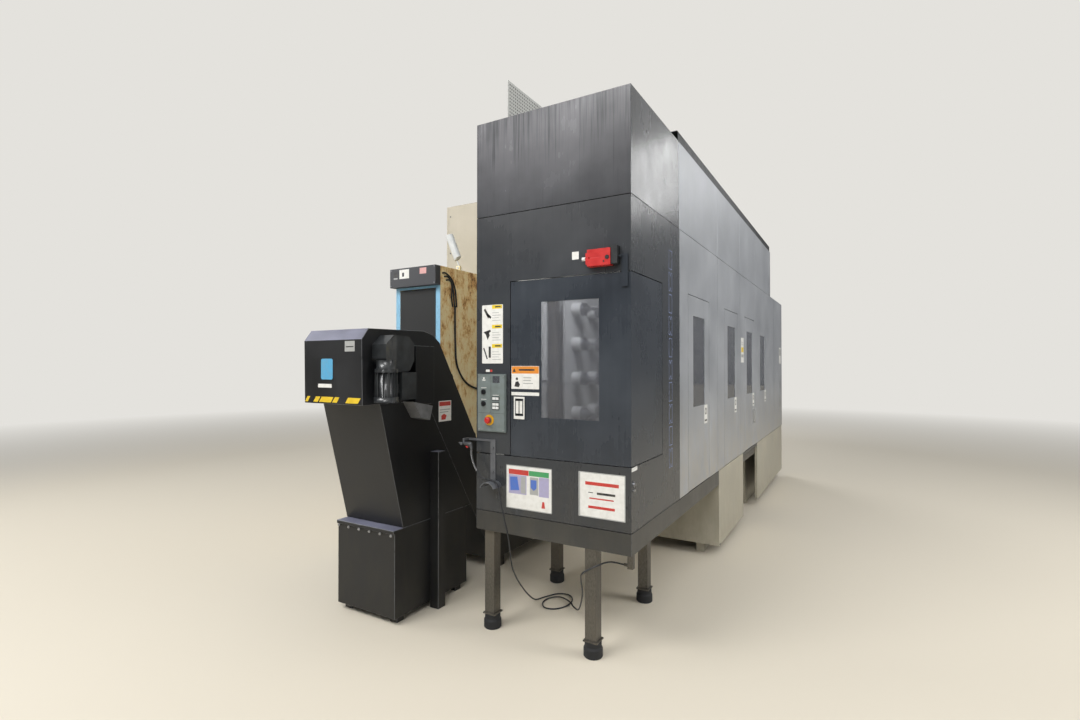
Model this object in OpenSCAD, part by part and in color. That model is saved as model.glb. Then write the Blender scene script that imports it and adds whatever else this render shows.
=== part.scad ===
/* [Tower] */
// Width of the magazine tower across its dark end
tower_w = 980; // [900:10:1100]
// Height of the underside of the tower above the floor
under_z = 587; // [520:1:660]
// Height of the sill strip
sill_h = 115; // [90:1:140]
// Height of the lower end panel, between sill strip and loading door
lower_h = 340; // [280:5:400]
// Height of the loading door opening
door_h = 1005; // [950:5:1060]
// Height of the panels above the doors
header_h = 395; // [300:5:480]
// Height of the top row of panels
upper_h = 565; // [460:5:640]
// Length of the dark part of the flank
dark_len = 857; // [820:1:900]
// Length of the first grey bay
bay_1 = 1074; // [1020:1:1140]
// Length of the second grey bay
bay_2 = 943; // [900:1:1000]
// Length of the third grey bay
bay_3 = 870; // [840:1:930]
// Length of the fourth grey bay
bay_4 = 1452; // [1350:1:1550]
// Length of the last grey bay
bay_5 = 804; // [760:1:900]
// How far the low rear end stands beyond the high part
step_len = 1114; // [900:1:1300]

/* [Panels and frame] */
// Depth of a folded panel
panel_d = 25; // [20:1:32]
// Thickness of the sheet metal
sheet = 3; // [2:0.5:4]
// Width of the seams between the panels
seam = 4; // [2:0.5:6]
// Width of the square frame tubes
tube = 60; // [50:5:70]
// Gap between bolted faces
seat = 0.2; // [0.1:0.05:0.3]

/* [Legs] */
// Width of the square legs under the tower
leg_w = 66; // [56:1:76]
// Distance of the right legs from the flank
leg_right = 240; // [200:5:300]
// Distance of the left legs from the flank
leg_left = 900; // [850:5:930]
// Diameter of the rubber feet
foot_d = 104; // [90:1:120]
// Height of the rubber feet
foot_h = 84; // [70:1:100]
// Thickness of the plates under the legs
leg_plate = 8; // [6:1:12]

/* [Loading door] */
// Width of the front leaf of the loading door
load_w = 735; // [690:5:770]
// Length of the side leaf of the loading door
load_side = 500; // [460:5:540]
// Depth of the folded door leaves
leaf_d = 21; // [18:0.5:21.5]
// Gap round the doors
door_gap = 5; // [4:0.5:7]
// Width of the pane in the loading door
load_pane_w = 353; // [300:1:380]
// Height of the pane in the loading door
load_pane_h = 647; // [560:1:700]
// Distance of the pane from the right edge of the front leaf
load_pane_in = 179; // [150:1:210]
// Height of the pane above the lower edge of the door opening
load_pane_up = 226; // [180:1:260]
// Thickness of the panes
pane_t = 6; // [4:0.5:8]
// How far the panes reach behind the sheet
pane_lap = 14; // [10:1:20]
// Distance of the hinge pin from the outer face
pin_in = 8; // [7.5:0.5:9]
// Distance of the hinge pin from the edge of the leaf
pin_back = 10; // [9:0.5:12]
// Radius of the hinge pins
pin_r = 4; // [3:0.5:4.5]
// Running clearance round the hinge pins
run = 0.08; // [0.04:0.01:0.1]
// Height of the hinge blocks
hinge_h = 46; // [36:1:60]

/* [Flank doors] */
// Width of the doors in the flank
side_w = 575; // [540:5:600]
// Distance of the first door from the start of its bay
side_in_1 = 205; // [180:1:240]
// Distance of the second door from the start of its bay
side_in_2 = 255; // [210:1:270]
// Distance of the third door from the start of its bay
side_in_3 = 225; // [190:1:240]
// Width of the panes in the flank
side_pane_w = 318; // [280:1:340]
// Height of the panes in the flank
side_pane_h = 637; // [560:1:700]
// Height of the lower edge of the panes in the flank
side_pane_z = 1270; // [1200:1:1330]
// Distance of a pane from the hinge edge of its door
side_pane_in = 124; // [100:1:150]
// Distance of the fixed pane from the start of its bay
fixed_pane_in = 322; // [280:1:360]

/* [Skirts] */
// Start of the first skirt behind the dark end
skirt_1 = 1963; // [1940:1:2050]
// Length of the first skirt
skirt_len_1 = 1043; // [980:1:1080]
// Gap between the two skirts
skirt_gap = 831; // [760:1:900]
// Height of the first skirt above the floor
skirt_z = 88; // [60:1:130]

/* [Button panel] */
// Width of the button panel
key_w = 199; // [180:1:210]
// Height of the button panel
key_h = 339; // [310:1:360]
// Thickness of the button panel
key_t = 16; // [14:1:24]
// Distance of the button panel from the left edge of the tower
key_in = 17; // [10:1:26]
// Height of the lower edge of the button panel
key_z = 1171; // [1120:1:1220]
// Width of a push button
cap_w = 21; // [18:0.5:23]
// Height of a push button
cap_h = 15; // [12:0.5:16]
// Travel of a push button
cap_travel = 2; // [1:0.5:3]
// How far a push button stands out
cap_out = 3; // [2.5:0.5:5]
// Diameter of the emergency stop button
stop_d = 40; // [34:1:46]
// Diameter of the yellow collar
collar_d = 62; // [56:1:70]

/* [Interlock and hook] */
// Length of the interlock switch
switch_w = 166; // [150:1:180]
// Height of the interlock switch
switch_h = 88; // [70:1:100]
// Depth of the interlock switch
switch_d = 44; // [38:1:52]
// Distance of the interlock switch from the corner
switch_in = 62; // [58:1:70]
// Height of the interlock switch above the door opening
switch_up = 32; // [24:1:40]
// Width of the hose hook bar
hook_w = 36; // [28:1:44]
// Radius of the hose saddle
saddle_r = 52; // [44:1:58]

/* [Tool magazine] */
// Number of pot rows
pot_rows = 5; // [3:1:5]
// Number of pot columns
pot_cols = 12; // [6:1:12]
// Distance between the pots
pot_pitch = 260; // [240:5:265]
// Radius of a pot
pot_r = 52; // [46:1:58]
// Length of a pot
pot_len = 70; // [50:1:90]
// Radius of the bore of a pot
pot_bore = 34; // [28:1:38]
// Radius of a tool holder flange
flange_r = 48; // [42:1:52]
// Length of the longest tool
tool_len = 130; // [100:5:135]
// Height of the lowest pot row
pot_z = 940; // [900:5:980]
// Thickness of the magazine wall
rack_t = 14; // [10:1:20]
// Width of the shuttle mast
mast_w = 110; // [90:5:130]
// Distance of the shuttle mast from the flank
mast_in = 150; // [130:5:180]
// Length of a gripper arm
grip_len = 160; // [130:5:170]

/* [Machining cell] */
// Depth of the machine behind the flank
depth = 2900; // [2800:10:3100]
// Start of the machining cell behind the dark end
cell_y = 2000; // [1980:5:2010]
// Height of the machining cell
cell_h = 3290; // [3200:10:3500]
// Height of the levelling pads under the bed
pad_h = 60; // [50:1:80]
// Length of the machine bed
bed_len = 3540; // [3400:10:3600]
// Gap between the machine bed and the walls of the cell
bed_gap = 160; // [140:5:200]
// Height of the bed body
bed_h = 360; // [320:5:420]
// Height of the column ways above the bed body
way_h = 360; // [300:5:400]
// Width of the travelling column
col_w = 800; // [700:10:860]
// Depth of the travelling column
col_d = 820; // [760:10:860]
// Height of the travelling column
col_h = 1840; // [1700:10:1950]
// Width and height of the spindle head
head_w = 480; // [420:10:520]
// Length of the spindle head
head_len = 560; // [480:10:600]
// Radius of the spindle
spindle_r = 105; // [90:1:120]
// Side of the square pallet
pallet_w = 630; // [560:10:650]
// Radius of the rotary table
table_r = 330; // [290:5:350]
// Width of the opening for the operator
gate_w = 800; // [700:10:860]
// Height of the opening for the operator
gate_h = 1200; // [1000:10:1300]
// Height of the lower edge of that opening
gate_z = 900; // [800:10:1000]

/* [Chip conveyor] */
// Width of the conveyor casing
conv_w = 500; // [440:5:540]
// Distance of the conveyor from the flank
conv_in = 1400; // [1380:5:1450]
// How far the head stands in front of the dark end
conv_front = 500; // [440:5:560]
// Height of the discharge lip
lip_z = 1335; // [1250:5:1400]
// Height of the conveyor head above the lip
conv_head_h = 445; // [400:5:500]
// Slope of the conveyor
slope = 59; // [56:0.5:62]
// Thickness of the casing across the slope
conv_t = 300; // [270:5:340]
// Height of the low run of the conveyor
run_h = 300; // [270:5:320]
// Thickness of the casing plates
conv_plate = 5; // [4:0.5:6]
// Radius of the drive shaft
shaft_r = 25; // [20:1:30]
// Diameter of the motor
motor_d = 138; // [120:1:150]
// Length of the motor
motor_len = 180; // [160:1:220]

/* [Cabinet and tank] */
// Width of the cabinet
cab_w = 500; // [440:5:560]
// Distance of the cabinet from the flank
cab_in = 2000; // [1980:5:2060]
// Start of the cabinet behind the dark end
cab_y = 850; // [800:5:900]
// Height of the cabinet
cab_h = 2390; // [2300:5:2500]
// Height of the grey strip on top of the cabinet
cab_head = 160; // [120:5:200]
// Width of the rim round the cabinet door
cab_rim = 48; // [30:1:60]
// Height of the coolant tank
tank_h = 570; // [500:5:600]
// Length of the coolant tank
tank_len = 690; // [600:5:710]
// Lean of the lamp arm
lamp_lean = 24; // [10:1:35]

/* [Air gun] */
// Outer diameter of the hose
hose_d = 9; // [8:0.5:10]

/* [Hidden] */
$fn = 48;

// heights of the rows of panels
sill_top = under_z + sill_h;
lower_top = sill_top + lower_h;
door_top = lower_top + door_h;
mid_top = door_top + header_h;
roof_z = mid_top + upper_h;
// lengths along the flank, from the dark end
y_1 = dark_len + bay_1;
y_2 = y_1 + bay_2;
y_3 = y_2 + bay_3;
y_4 = y_3 + bay_4;
y_end = y_4 + bay_5;
upper_len = y_end - step_len;
// the frame stands behind the folded panels
frame_in = panel_d + seat;
frame_top = roof_z - sheet - seat;
low_top = mid_top - sheet - seat;
far = y_end - frame_in - tube;
post_y = [dark_len - tube / 2, y_1 - tube / 2, y_2 - tube / 2, y_3 - tube / 2,
    y_4 - tube / 2, far];
step_y = upper_len - frame_in - tube;
jamb_y = load_side + door_gap;
jamb_x = load_w + door_gap;
// outer reach in each direction and the place of the corner
front_reach = conv_front + 6;
slip = 0.3;
rear_reach = 150;
handle_out = 22;
corner_x = (depth - handle_out) / 2;
corner_y = (front_reach - y_end - rear_reach) / 2;
// flank doors
side_bottom = sill_top + door_gap;
side_top = door_top;
side_y = [dark_len + side_in_1, y_1 + side_in_2, y_2 + side_in_3];
key_x = -tower_w + key_in;
// hatch in the last bay
hatch_in = 120;
hatch_w = 500;
hatch_z = 968;
hatch_h = 370;
hatch_d = 8;
// magazine
rack_x = -tower_w + panel_d + seat + tube + 20;
pot_y = dark_len + 200;
pot_front = rack_x + rack_t + pot_len;
nose_x = pot_front + 30 + tool_len;
rail_z = under_z + tube + seat;
rack_z = pot_z - 150;
rack_h = (pot_rows - 1) * pot_pitch + 300;
mast_h = 1500;
mast_y = 1500;
lift_z = 880;
grip_x = -mast_in - mast_w - 190;
// machining cell
cell_x = -tower_w - seat;
bed_x = -(depth + tower_w) / 2;
bed_w = depth - tower_w - 2 * bed_gap;
bed_y = cell_y + 150;
bed_top = pad_h + bed_h;
way_top = bed_top + way_h;
guide = 50;
col_y = bed_y + 130;
col_z = way_top + guide + slip;
head_y = col_y + col_d + guide + slip;
head_z = 1010;
spindle_z = head_z + head_w / 2;
table_y = cell_y + 2500;
cross_z = bed_top + guide + slip;
cross_h = 180;
cross_w = 800;
cross_l = 760;
hub_r = 180;
hub_h = 100;
hub_gap = 20;
pallet_h = 90;
slot_w = 18;
slot_pitch = 110;
table_h = 190;
way_half = 320;
way_w = 70;
plate_w = 660;
plate_t = 120;
cowl_in = 20;
spindle_foot = 100;
track_in = 20;
track_h = 16;
track_d = 52;
leaf_t = 34;
leaf_off = 6;
pane_edge = 120;
pane_lip = 20;
bar_l = 500;
bar_d = 20;
pane_low = gate_z + gate_h / 3;
pane_high = gate_z + gate_h - 60;
gate_x = bed_x + 240;
gate_lip = 25;
gate_over = 44;
// control pendant on the far end of the tower
arm_in = 40;
desk_w = 420;
desk_h = 600;
desk_d = 80;
desk_y = 60;
desk_z = 1060;
sleeve_z = 1250;
sleeve_h = 220;
sleeve_r = 20;
ear_t = 14;
// chip conveyor
conv_x = -conv_in - conv_w;
head_top = lip_z + conv_head_h;
run_z = 90;
run_end = cell_y - seat;
tip = [150, head_top - 68];
down = [cos(slope), -sin(slope)];
across = [-sin(slope), -cos(slope)];
knee_out = tip + down * ((tip[1] - run_z - run_h) / sin(slope));
root = tip + across * conv_t;
mouth_back = root + down * ((root[1] - lip_z) / sin(slope));
knee_in = root + down * ((root[1] - run_z) / sin(slope));
conv_side = [[-conv_front, lip_z], mouth_back, knee_in, [run_end, run_z],
    [run_end, run_z + run_h], knee_out, tip, [84, head_top - 22], [0, head_top],
    [-conv_front + 42, head_top - 8], [-conv_front - 6, head_top - 72]];
drive_y = 200 - conv_front;
drive_z = head_top - 150;
gear_x = -conv_in + seat;
// the chain of plates runs inside the casing round two drums
belt_in = conv_plate + 26;
belt_r = 100;
belt_t = 12;
tail_r = run_h / 2 - belt_in;
tail_y = run_end - 60 - tail_r;
// column under the head of the conveyor, and the tank that it stands on
stand_top = lip_z - seat;
tank_y = -250;
cab_foot = 130;
cab_sill = cab_h - cab_head - 20;
// hose of the air gun, as it hangs and lies
gun_y = -58;
gun_at = [-1010, gun_y, 1094];
trig_x = 12;
trig_z = -13.2;
saddle_x = -845;
saddle_z = 890 - saddle_r;
hose_pts = [[-975, -58, 1062], [-975, -58, 1044], [-966, -57, 1000], [-938, -56, 945], [-905, -52, 908],
    [-872, -50, 900], [-815, -50, 894], [-789, -50, 868], [-772, -50, 790], [-745, -50, 680],
    [-722, -46, 590], [-722, -24, 490], [-744, 30, 390], [-782, 130, 290],
    [-822, 250, 190], [-848, 370, 90], [-852, 470, 18], [-832, 560, 6], [-780, 650, 6],
    [-705, 670, 6], [-650, 610, 6], [-640, 520, 6], [-680, 440, 6], [-750, 420, 6],
    [-800, 480, 6], [-795, 560, 6], [-740, 612, 6], [-642, 556, 17], [-588, 508, 14],
    [-500, 405, 58], [-350, 150, 270], [-305, 40, 400], [-272, -14, 456], [-228, -18, 488],
    [-190, 4, 508], [-166, 40, 515], [-146, 74, 513], [-124, 98, 506], [-104, 108, 501],
    [-84, 110, 500]];

// moves children from the corner of the tower to the middle of the floor outline
module at_corner() {
    translate([corner_x, corner_y, 0]) children();
}

// vertices of a polygon moved inwards by t
function inset(p, t) = let(n = len(p)) [for (i = [0:n - 1])
    let(a = p[(i + n - 1) % n], b = p[i], c = p[(i + 1) % n],
        u = (b - a) / norm(b - a), v = (c - b) / norm(c - b),
        nu = [-u[1], u[0]], nv = [-v[1], v[0]])
    b + t * (nu + nv) / (1 + nu * nv)];

// a box between two corners
module block(a, b) {
    translate(a) cube(b - a);
}

// a folded panel in the plane of the flank
module flank_tray(y0, y1, z0, z1, d = panel_d) {
    difference() {
        block([-d, y0, z0], [0, y1, z1]);
        block([-d - 1, y0 + sheet, z0 + sheet], [-sheet, y1 - sheet, z1 - sheet]);
    }
}

// a folded panel in the plane of the dark end
module end_tray(x0, x1, z0, z1, d = panel_d) {
    difference() {
        block([x0, 0, z0], [x1, d, z1]);
        block([x0 + sheet, sheet, z0 + sheet], [x1 - sheet, d + 1, z1 - sheet]);
    }
}

// plan outline of a strip folded round the corner, between two depths
function wrap(x0, y1, t0, t1) = [[x0, t0], [-t0, t0], [-t0, y1], [-t1, y1], [-t1, t1], [x0, t1]];

// a folded panel that runs round the corner of the tower
module wrap_tray(x0, y1, z0, z1, d = panel_d) {
    difference() {
        translate([0, 0, z0])
            linear_extrude(z1 - z0)
            polygon(wrap(x0, y1, 0, d));
        translate([0, 0, z0 + sheet])
            linear_extrude(z1 - z0 - 2 * sheet)
            polygon(wrap(x0 + sheet, y1 - sheet, sheet, d + 1));
    }
}

// a folded panel on the left side of the tower
module left_tray(y0, y1, z0, z1) {
    translate([-tower_w, 0, 0])
        mirror([1, 0, 0])
        flank_tray(y0, y1, z0, z1);
}

// upright frame tube with its near corner at x, y
module post(x, y, z0, z1) {
    block([x, y, z0], [x + tube, y + tube, z1]);
}

// frame tube along the flank
module rail_y(x, y0, y1, z) {
    block([x, y0 + seat, z], [x + tube, y1 - seat, z + tube]);
}

// frame tube across the tower
module rail_x(y, x0, x1, z) {
    block([x0 + seat, y, z], [x1 - seat, y + tube, z + tube]);
}

module tower_frame() {
    right = -frame_in - tube;
    left = -tower_w + frame_in;
    leg_y = [frame_in + tube / 2, dark_len];
    color("dimgray") at_corner() {
        // corner posts below and above the loading door
        post(right, frame_in, under_z, lower_top - seat);
        post(right, frame_in, door_top + seat, frame_top);
        post(left, frame_in, under_z, frame_top);
        post(-jamb_x - tube, frame_in, under_z, frame_top);
        post(right, jamb_y, under_z, frame_top);
        for (i = [0:5]) {
            top = i > 3 ? low_top : frame_top;
            post(right, post_y[i], under_z, top);
            post(left, post_y[i], under_z, top);
        }
        post(right, step_y, mid_top + seat, frame_top);
        post(left, step_y, mid_top + seat, frame_top);
        // rails along the flank
        for (z = [under_z, sill_top - tube / 2, mid_top - tube / 2])
            for (i = [0:4])
                rail_y(right, post_y[i] + tube, post_y[i + 1], min(z, low_top - tube));
        for (i = [0:4])
            rail_y(left, post_y[i] + tube, post_y[i + 1], under_z);
        rail_y(left, frame_in + tube, post_y[0], under_z);
        rail_y(left, frame_in + tube, post_y[0], mid_top - tube / 2);
        for (z = [under_z, sill_top - tube / 2, lower_top - tube - seat, door_top + seat,
            mid_top - tube / 2])
            rail_y(right, frame_in + tube, jamb_y, z);
        for (z = [under_z, sill_top - tube / 2, mid_top - tube / 2])
            rail_y(right, jamb_y + tube, post_y[0], z);
        rail_y(right, frame_in + tube, jamb_y, frame_top - tube);
        rail_y(right, jamb_y + tube, post_y[0], frame_top - tube);
        rail_y(left, frame_in + tube, post_y[0], frame_top - tube);
        for (i = [0:2]) {
            rail_y(right, post_y[i] + tube, post_y[i + 1], frame_top - tube);
            rail_y(left, post_y[i] + tube, post_y[i + 1], frame_top - tube);
        }
        rail_y(right, post_y[3] + tube, step_y, frame_top - tube);
        rail_y(left, post_y[3] + tube, step_y, frame_top - tube);
        // rails across the dark end
        for (z = [under_z, sill_top - tube / 2, lower_top - tube - seat, door_top + seat,
            mid_top - tube / 2, frame_top - tube])
            rail_x(frame_in, -jamb_x, right, z);
        for (z = [under_z, sill_top - tube / 2, mid_top - tube / 2, frame_top - tube])
            rail_x(frame_in, left + tube, -jamb_x - tube, z);
        // cross ties
        for (y = post_y)
            rail_x(y, left + tube, right, under_z);
        for (i = [0:3])
            rail_x(post_y[i], left + tube, right, frame_top - tube);
        rail_x(step_y, left + tube, right, frame_top - tube);
        rail_x(far, left + tube, right, low_top - tube);
        // legs with their plates
        for (x = [-leg_right, -leg_left])
            for (y = leg_y) {
                block([x - leg_w / 2, y - leg_w / 2, foot_h + seat + leg_plate],
                    [x + leg_w / 2, y + leg_w / 2, under_z - seat]);
                block([x - leg_w / 2 - 9, y - leg_w / 2 - 9, foot_h + seat],
                    [x + leg_w / 2 + 9, y + leg_w / 2 + 9, foot_h + seat + leg_plate]);
            }
        // air supply fitting under the flank rail
        translate([-45, 110, 0]) {
            block([-15, -15, under_z - 102], [15, 15, under_z - seat]);
            translate([-14, 0, under_z - 87]) rotate([0, -90, 0]) cylinder(h = 25, r = 8);
        }
    }
}

// rubber foot turned from one profile
module foot(r, h) {
    rotate_extrude()
        polygon([[0, 0], [r - 4, 0], [r, 5], [r, h * 0.55], [r - 6, h * 0.7], [r - 6, h], [0, h]]);
}

module foot_pads() {
    color([0.1, 0.1, 0.11]) at_corner() {
        for (x = [-leg_right, -leg_left])
            for (y = [frame_in + tube / 2, dark_len])
                translate([x, y, 0]) foot(foot_d / 2, foot_h);
        for (i = [-1, 1])
            for (j = [0:3])
                translate([bed_x + i * (bed_w / 2 - 150), bed_y + 200 + j * (bed_len - 400) / 3, 0])
                    foot(90, pad_h - seat);
    }
}

module end_upper_panel() {
    color([0.16, 0.17, 0.18]) at_corner()
        wrap_tray(-tower_w, dark_len - seam / 2, mid_top + seam / 2, roof_z);
}

module end_mid_panel() {
    color([0.16, 0.17, 0.18]) at_corner() {
        low = mid_top - seam / 2;
        end_tray(-tower_w, -load_w - door_gap, lower_top + seam / 2, low);
        wrap_tray(-load_w - door_gap - sheet, load_side + door_gap + sheet, door_top + seat, low);
        flank_tray(load_side + door_gap, dark_len - seam / 2, sill_top + seam / 2, low);
        // pivot pin for the top of the loading door
        translate([-pin_in, load_side - pin_back, door_top - hinge_h + 8])
            cylinder(h = hinge_h - 8 + sheet + seat, r = pin_r);
    }
}

module end_lower_panel() {
    color([0.16, 0.17, 0.18]) at_corner() {
        wrap_tray(-tower_w, load_side + door_gap - seat, sill_top + seam / 2,
            lower_top - door_gap);
        // pivot pin for the foot of the loading door
        translate([-pin_in, load_side - pin_back, lower_top - door_gap - sheet])
            cylinder(h = hinge_h - 8 + sheet, r = pin_r);
    }
}

module end_sill_panel() {
    color([0.3, 0.3, 0.31]) at_corner()
        wrap_tray(-tower_w, dark_len - seat, under_z, sill_top - seam / 2);
}

module flank_upper_panels() {
    z0 = mid_top + seam / 2;
    color([0.62, 0.64, 0.66]) at_corner() {
        flank_tray(dark_len + seam / 2, y_1 - seam / 2, z0, roof_z);
        flank_tray(y_1 + seam / 2, y_2 - seam / 2, z0, roof_z);
        flank_tray(y_2 + seam / 2, y_3 - seam / 2, z0, roof_z);
        flank_tray(y_3 + seam / 2, upper_len, z0, roof_z);
    }
}

module flank_mid_panels() {
    low = sill_top + seam / 2;
    high = mid_top - seam / 2;
    starts = [dark_len, y_1, y_2];
    ends = [y_1, y_2, y_3];
    color([0.62, 0.64, 0.66]) at_corner() {
        for (i = [0:2]) {
            near = side_y[i] - door_gap;
            back = side_y[i] + side_w + door_gap;
            flank_tray(starts[i] + seam / 2, near, low, high);
            flank_tray(back, ends[i] - seam / 2, low, high);
            flank_tray(near + seat, back - seat, side_top + seat, high);
            // pivot pin above the door
            translate([-pin_in, side_y[i] + pin_back, side_top - hinge_h + 8])
                cylinder(h = hinge_h - 8 + sheet + seat, r = pin_r);
        }
        difference() {
            flank_tray(y_3 + seam / 2, y_4 - seam / 2, low, high);
            block([-panel_d, y_3 + fixed_pane_in, side_pane_z],
                [1, y_3 + fixed_pane_in + side_pane_w, side_pane_z + side_pane_h]);
        }
        difference() {
            flank_tray(y_4 + seam / 2, y_end, low, high);
            // recess of the filler hatch
            block([-hatch_d, y_4 + hatch_in, hatch_z], [1, y_4 + hatch_in + hatch_w, hatch_z + hatch_h]);
        }
        block([-2 * sheet - seat, y_4 + hatch_in - 10, hatch_z - 10],
            [-sheet - seat, y_4 + hatch_in + hatch_w + 10, hatch_z + hatch_h + 10]);
    }
}

module flank_sill_panel() {
    color([0.55, 0.56, 0.56]) at_corner() {
        flank_tray(dark_len, skirt_1 - seat, under_z, sill_top - seam / 2);
        // pivot pins under the first and the third door
        for (i = [0, 2])
            translate([-pin_in, side_y[i] + pin_back, sill_top - seam / 2 - sheet])
                cylinder(h = hinge_h - 8 + sheet, r = pin_r);
        flank_tray(skirt_1 + skirt_len_1, skirt_1 + skirt_len_1 + skirt_gap,
            sill_top - tube / 2, sill_top - seam / 2);
    }
}

// pane behind an opening in the flank
module side_pane(y0, z0, w, h) {
    block([-sheet - seat - pane_t, y0 - pane_lap, z0 - pane_lap],
        [-sheet - seat, y0 + w + pane_lap, z0 + h + pane_lap]);
}

module flank_fixed_window() {
    color([0.25, 0.27, 0.28, 0.5]) at_corner()
        side_pane(y_3 + fixed_pane_in, side_pane_z, side_pane_w, side_pane_h);
}

module base_skirts() {
    color([0.66, 0.67, 0.67]) at_corner() {
        top = sill_top - seam / 2;
        s2 = skirt_1 + skirt_len_1 + skirt_gap;
        flank_tray(skirt_1, skirt_1 + skirt_len_1 - seat, skirt_z, top);
        flank_tray(s2 + seat, y_end - 50, skirt_z - 10, top);
        // pivot pin under the second door
        translate([-pin_in, side_y[1] + pin_back, top - sheet])
            cylinder(h = hinge_h - 8 + sheet, r = pin_r);
        // closing wall that faces the dark end
        translate([0, skirt_1, 0])
            difference() {
                block([-tower_w, 0, skirt_z], [-panel_d - seat, panel_d, under_z - seat]);
                block([-tower_w + sheet, sheet, skirt_z + sheet],
                    [-panel_d - seat - sheet, panel_d + 1, under_z - seat - sheet]);
            }
        // dark plinths under the skirts
        block([-200, skirt_1 + 60, 0], [-140, skirt_1 + skirt_len_1 - 60, under_z - seat]);
        block([-200, s2 + 60, 0], [-140, y_end - 110, under_z - seat]);
    }
}

module tower_back_panels() {
    right = -frame_in - tube - seat;
    left = -tower_w + frame_in + tube + seat;
    color([0.7, 0.7, 0.68]) at_corner() {
        left_tray(panel_d + seat, dark_len - seat, under_z, roof_z);
        left_tray(dark_len, cell_y - seat, under_z, roof_z);
        // roof sheets
        block([-tower_w + panel_d + seat, panel_d + seat, frame_top + seat],
            [-panel_d - seat, dark_len - seam / 2, roof_z]);
        block([-tower_w + panel_d + seat, dark_len, frame_top + seat],
            [-panel_d - seat, y_2, roof_z]);
        block([-tower_w + panel_d + seat, y_2 + seat, frame_top + seat],
            [-panel_d - seat, upper_len - sheet - seat, roof_z]);
        block([-tower_w + panel_d + seat, upper_len + seat, low_top + seat],
            [-panel_d - seat, y_end - panel_d - seat, mid_top]);
        // wall of the step in the roof
        block([-tower_w + seat, upper_len - sheet, mid_top + seat], [-panel_d - seat, upper_len, roof_z]);
        // rear end of the tower
        translate([0, y_end, 0])
            mirror([0, 1, 0])
            end_tray(-tower_w + seat, -panel_d - seat, under_z, mid_top);
        // bracket of the control pendant
        translate([-300, y_end, 0]) {
            for (z = [sleeve_z - slip - ear_t, sleeve_z + sleeve_h + slip])
                block([-22, -sheet / 2, z], [22, desk_y + 22, z + ear_t]);
            translate([0, desk_y, sleeve_z - 10]) cylinder(h = sleeve_h + 20, r = sleeve_r / 2);
        }
        // floor sheets
        for (i = [0:4])
            block([left, post_y[i], rail_z], [right, post_y[i + 1] - seat, rail_z + sheet]);
        block([left, frame_in + tube + seat, rail_z], [right, post_y[0] - seat, rail_z + sheet]);
        // screen on the left edge of the roof
        block([-tower_w, 330, roof_z + seat], [-tower_w + 60, 1700, roof_z + seat + sheet]);
        block([-tower_w, 330, roof_z + seat], [-tower_w + sheet, 1700, roof_z + 425]);
    }
}

module roof_cable_duct() {
    color([0.1, 0.1, 0.11]) at_corner()
        translate([-8, dark_len + 3, roof_z + seat])
        rotate([90, 0, 0])
        mirror([0, 0, 1])
        linear_extrude(upper_len - dark_len - 10)
        polygon([[-84, 0], [-84, 70], [-78, 78], [-6, 78], [0, 70], [0, 0], [-2, 0], [-2, 69],
            [-7, 76], [-77, 76], [-82, 69], [-82, 0]]);
}

module interlock_switch() {
    // the key leaves the head towards the corner
    color([0.8, 0.08, 0.08]) at_corner()
        translate([-switch_in - switch_w, 0, door_top + switch_up]) {
            difference() {
                union() {
                    block([0, -switch_d, 0], [switch_w - 34, -seat, switch_h]);
                    block([switch_w - 34, -switch_d + 6, 6], [switch_w, -seat, switch_h + 10]);
                    block([-14, -switch_d + 12, 14], [0, -12, switch_h - 14]);
                }
                block([switch_w - 24, -30, switch_h / 2 - 7], [switch_w + 1, -12, switch_h / 2 + 7]);
                for (x = [12, switch_w - 46])
                    translate([x, -switch_d - 1, switch_h / 2]) rotate([-90, 0, 0]) cylinder(h = 7, r = 5);
            }
            translate([-14, -switch_d / 2 - 2, switch_h / 2]) rotate([0, -90, 0]) cylinder(h = 22, r = 10);
        }
}

// hinge block inside a leaf, with its bore open to one end
module hinge_block(up) {
    h = hinge_h;
    translate([-leaf_d + 3, -pin_back - 8, up ? -h : 0])
        cube([leaf_d - 3 - sheet / 2, pin_back + 8, h]);
}

// bore for a pivot pin, h deep from the edge of the leaf
module hinge_bore(up) {
    translate([-pin_in, -pin_back, up ? -hinge_h + 2 : -1])
        cylinder(h = hinge_h - 1, r = pin_r + run);
}

module loading_door() {
    key_up = door_top + switch_up + switch_h / 2;
    z0 = lower_top;
    z1 = door_top - door_gap;
    px = -load_pane_in - load_pane_w;
    pz = lower_top + load_pane_up;
    color([0.14, 0.15, 0.16]) at_corner() {
        difference() {
            union() {
                wrap_tray(-load_w, load_side, z0, z1, leaf_d);
                translate([0, load_side, z0]) hinge_block(false);
                translate([0, load_side, z1]) hinge_block(true);
                // stiffeners beside the pane
                for (x = [px - 46, px + load_pane_w + pane_lap + 12])
                    block([x, sheet / 2, z0], [x + 20, leaf_d, z1]);
            }
            block([px, -1, pz], [px + load_pane_w, leaf_d + 1, pz + load_pane_h]);
            translate([0, load_side, z0]) hinge_bore(false);
            translate([0, load_side, z1]) hinge_bore(true);
            // recess of the latch
            block([-699, -1, 1266], [-651, 14, 1369]);
        }
        // latch surround
        difference() {
            block([-712, -4, 1253], [-638, 0, 1382]);
            block([-699, -5, 1266], [-651, 1, 1369]);
        }
        block([-702, sheet, 1263], [-648, 17, 1266]);
        block([-702, sheet, 1369], [-648, 17, 1372]);
        block([-702, 14, 1266], [-648, 17, 1369]);
        // bracket and key of the interlock
        block([-49, -8, door_top - 82], [-14, 0, z1]);
        block([-49, -8, z1 - 1], [-14, -3, key_up + 13]);
        block([-switch_in - 12, -24, key_up - 4], [-45, -21, key_up + 4]);
        block([-48, -24, key_up - 4], [-45, -3, key_up + 4]);
    }
}

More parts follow.
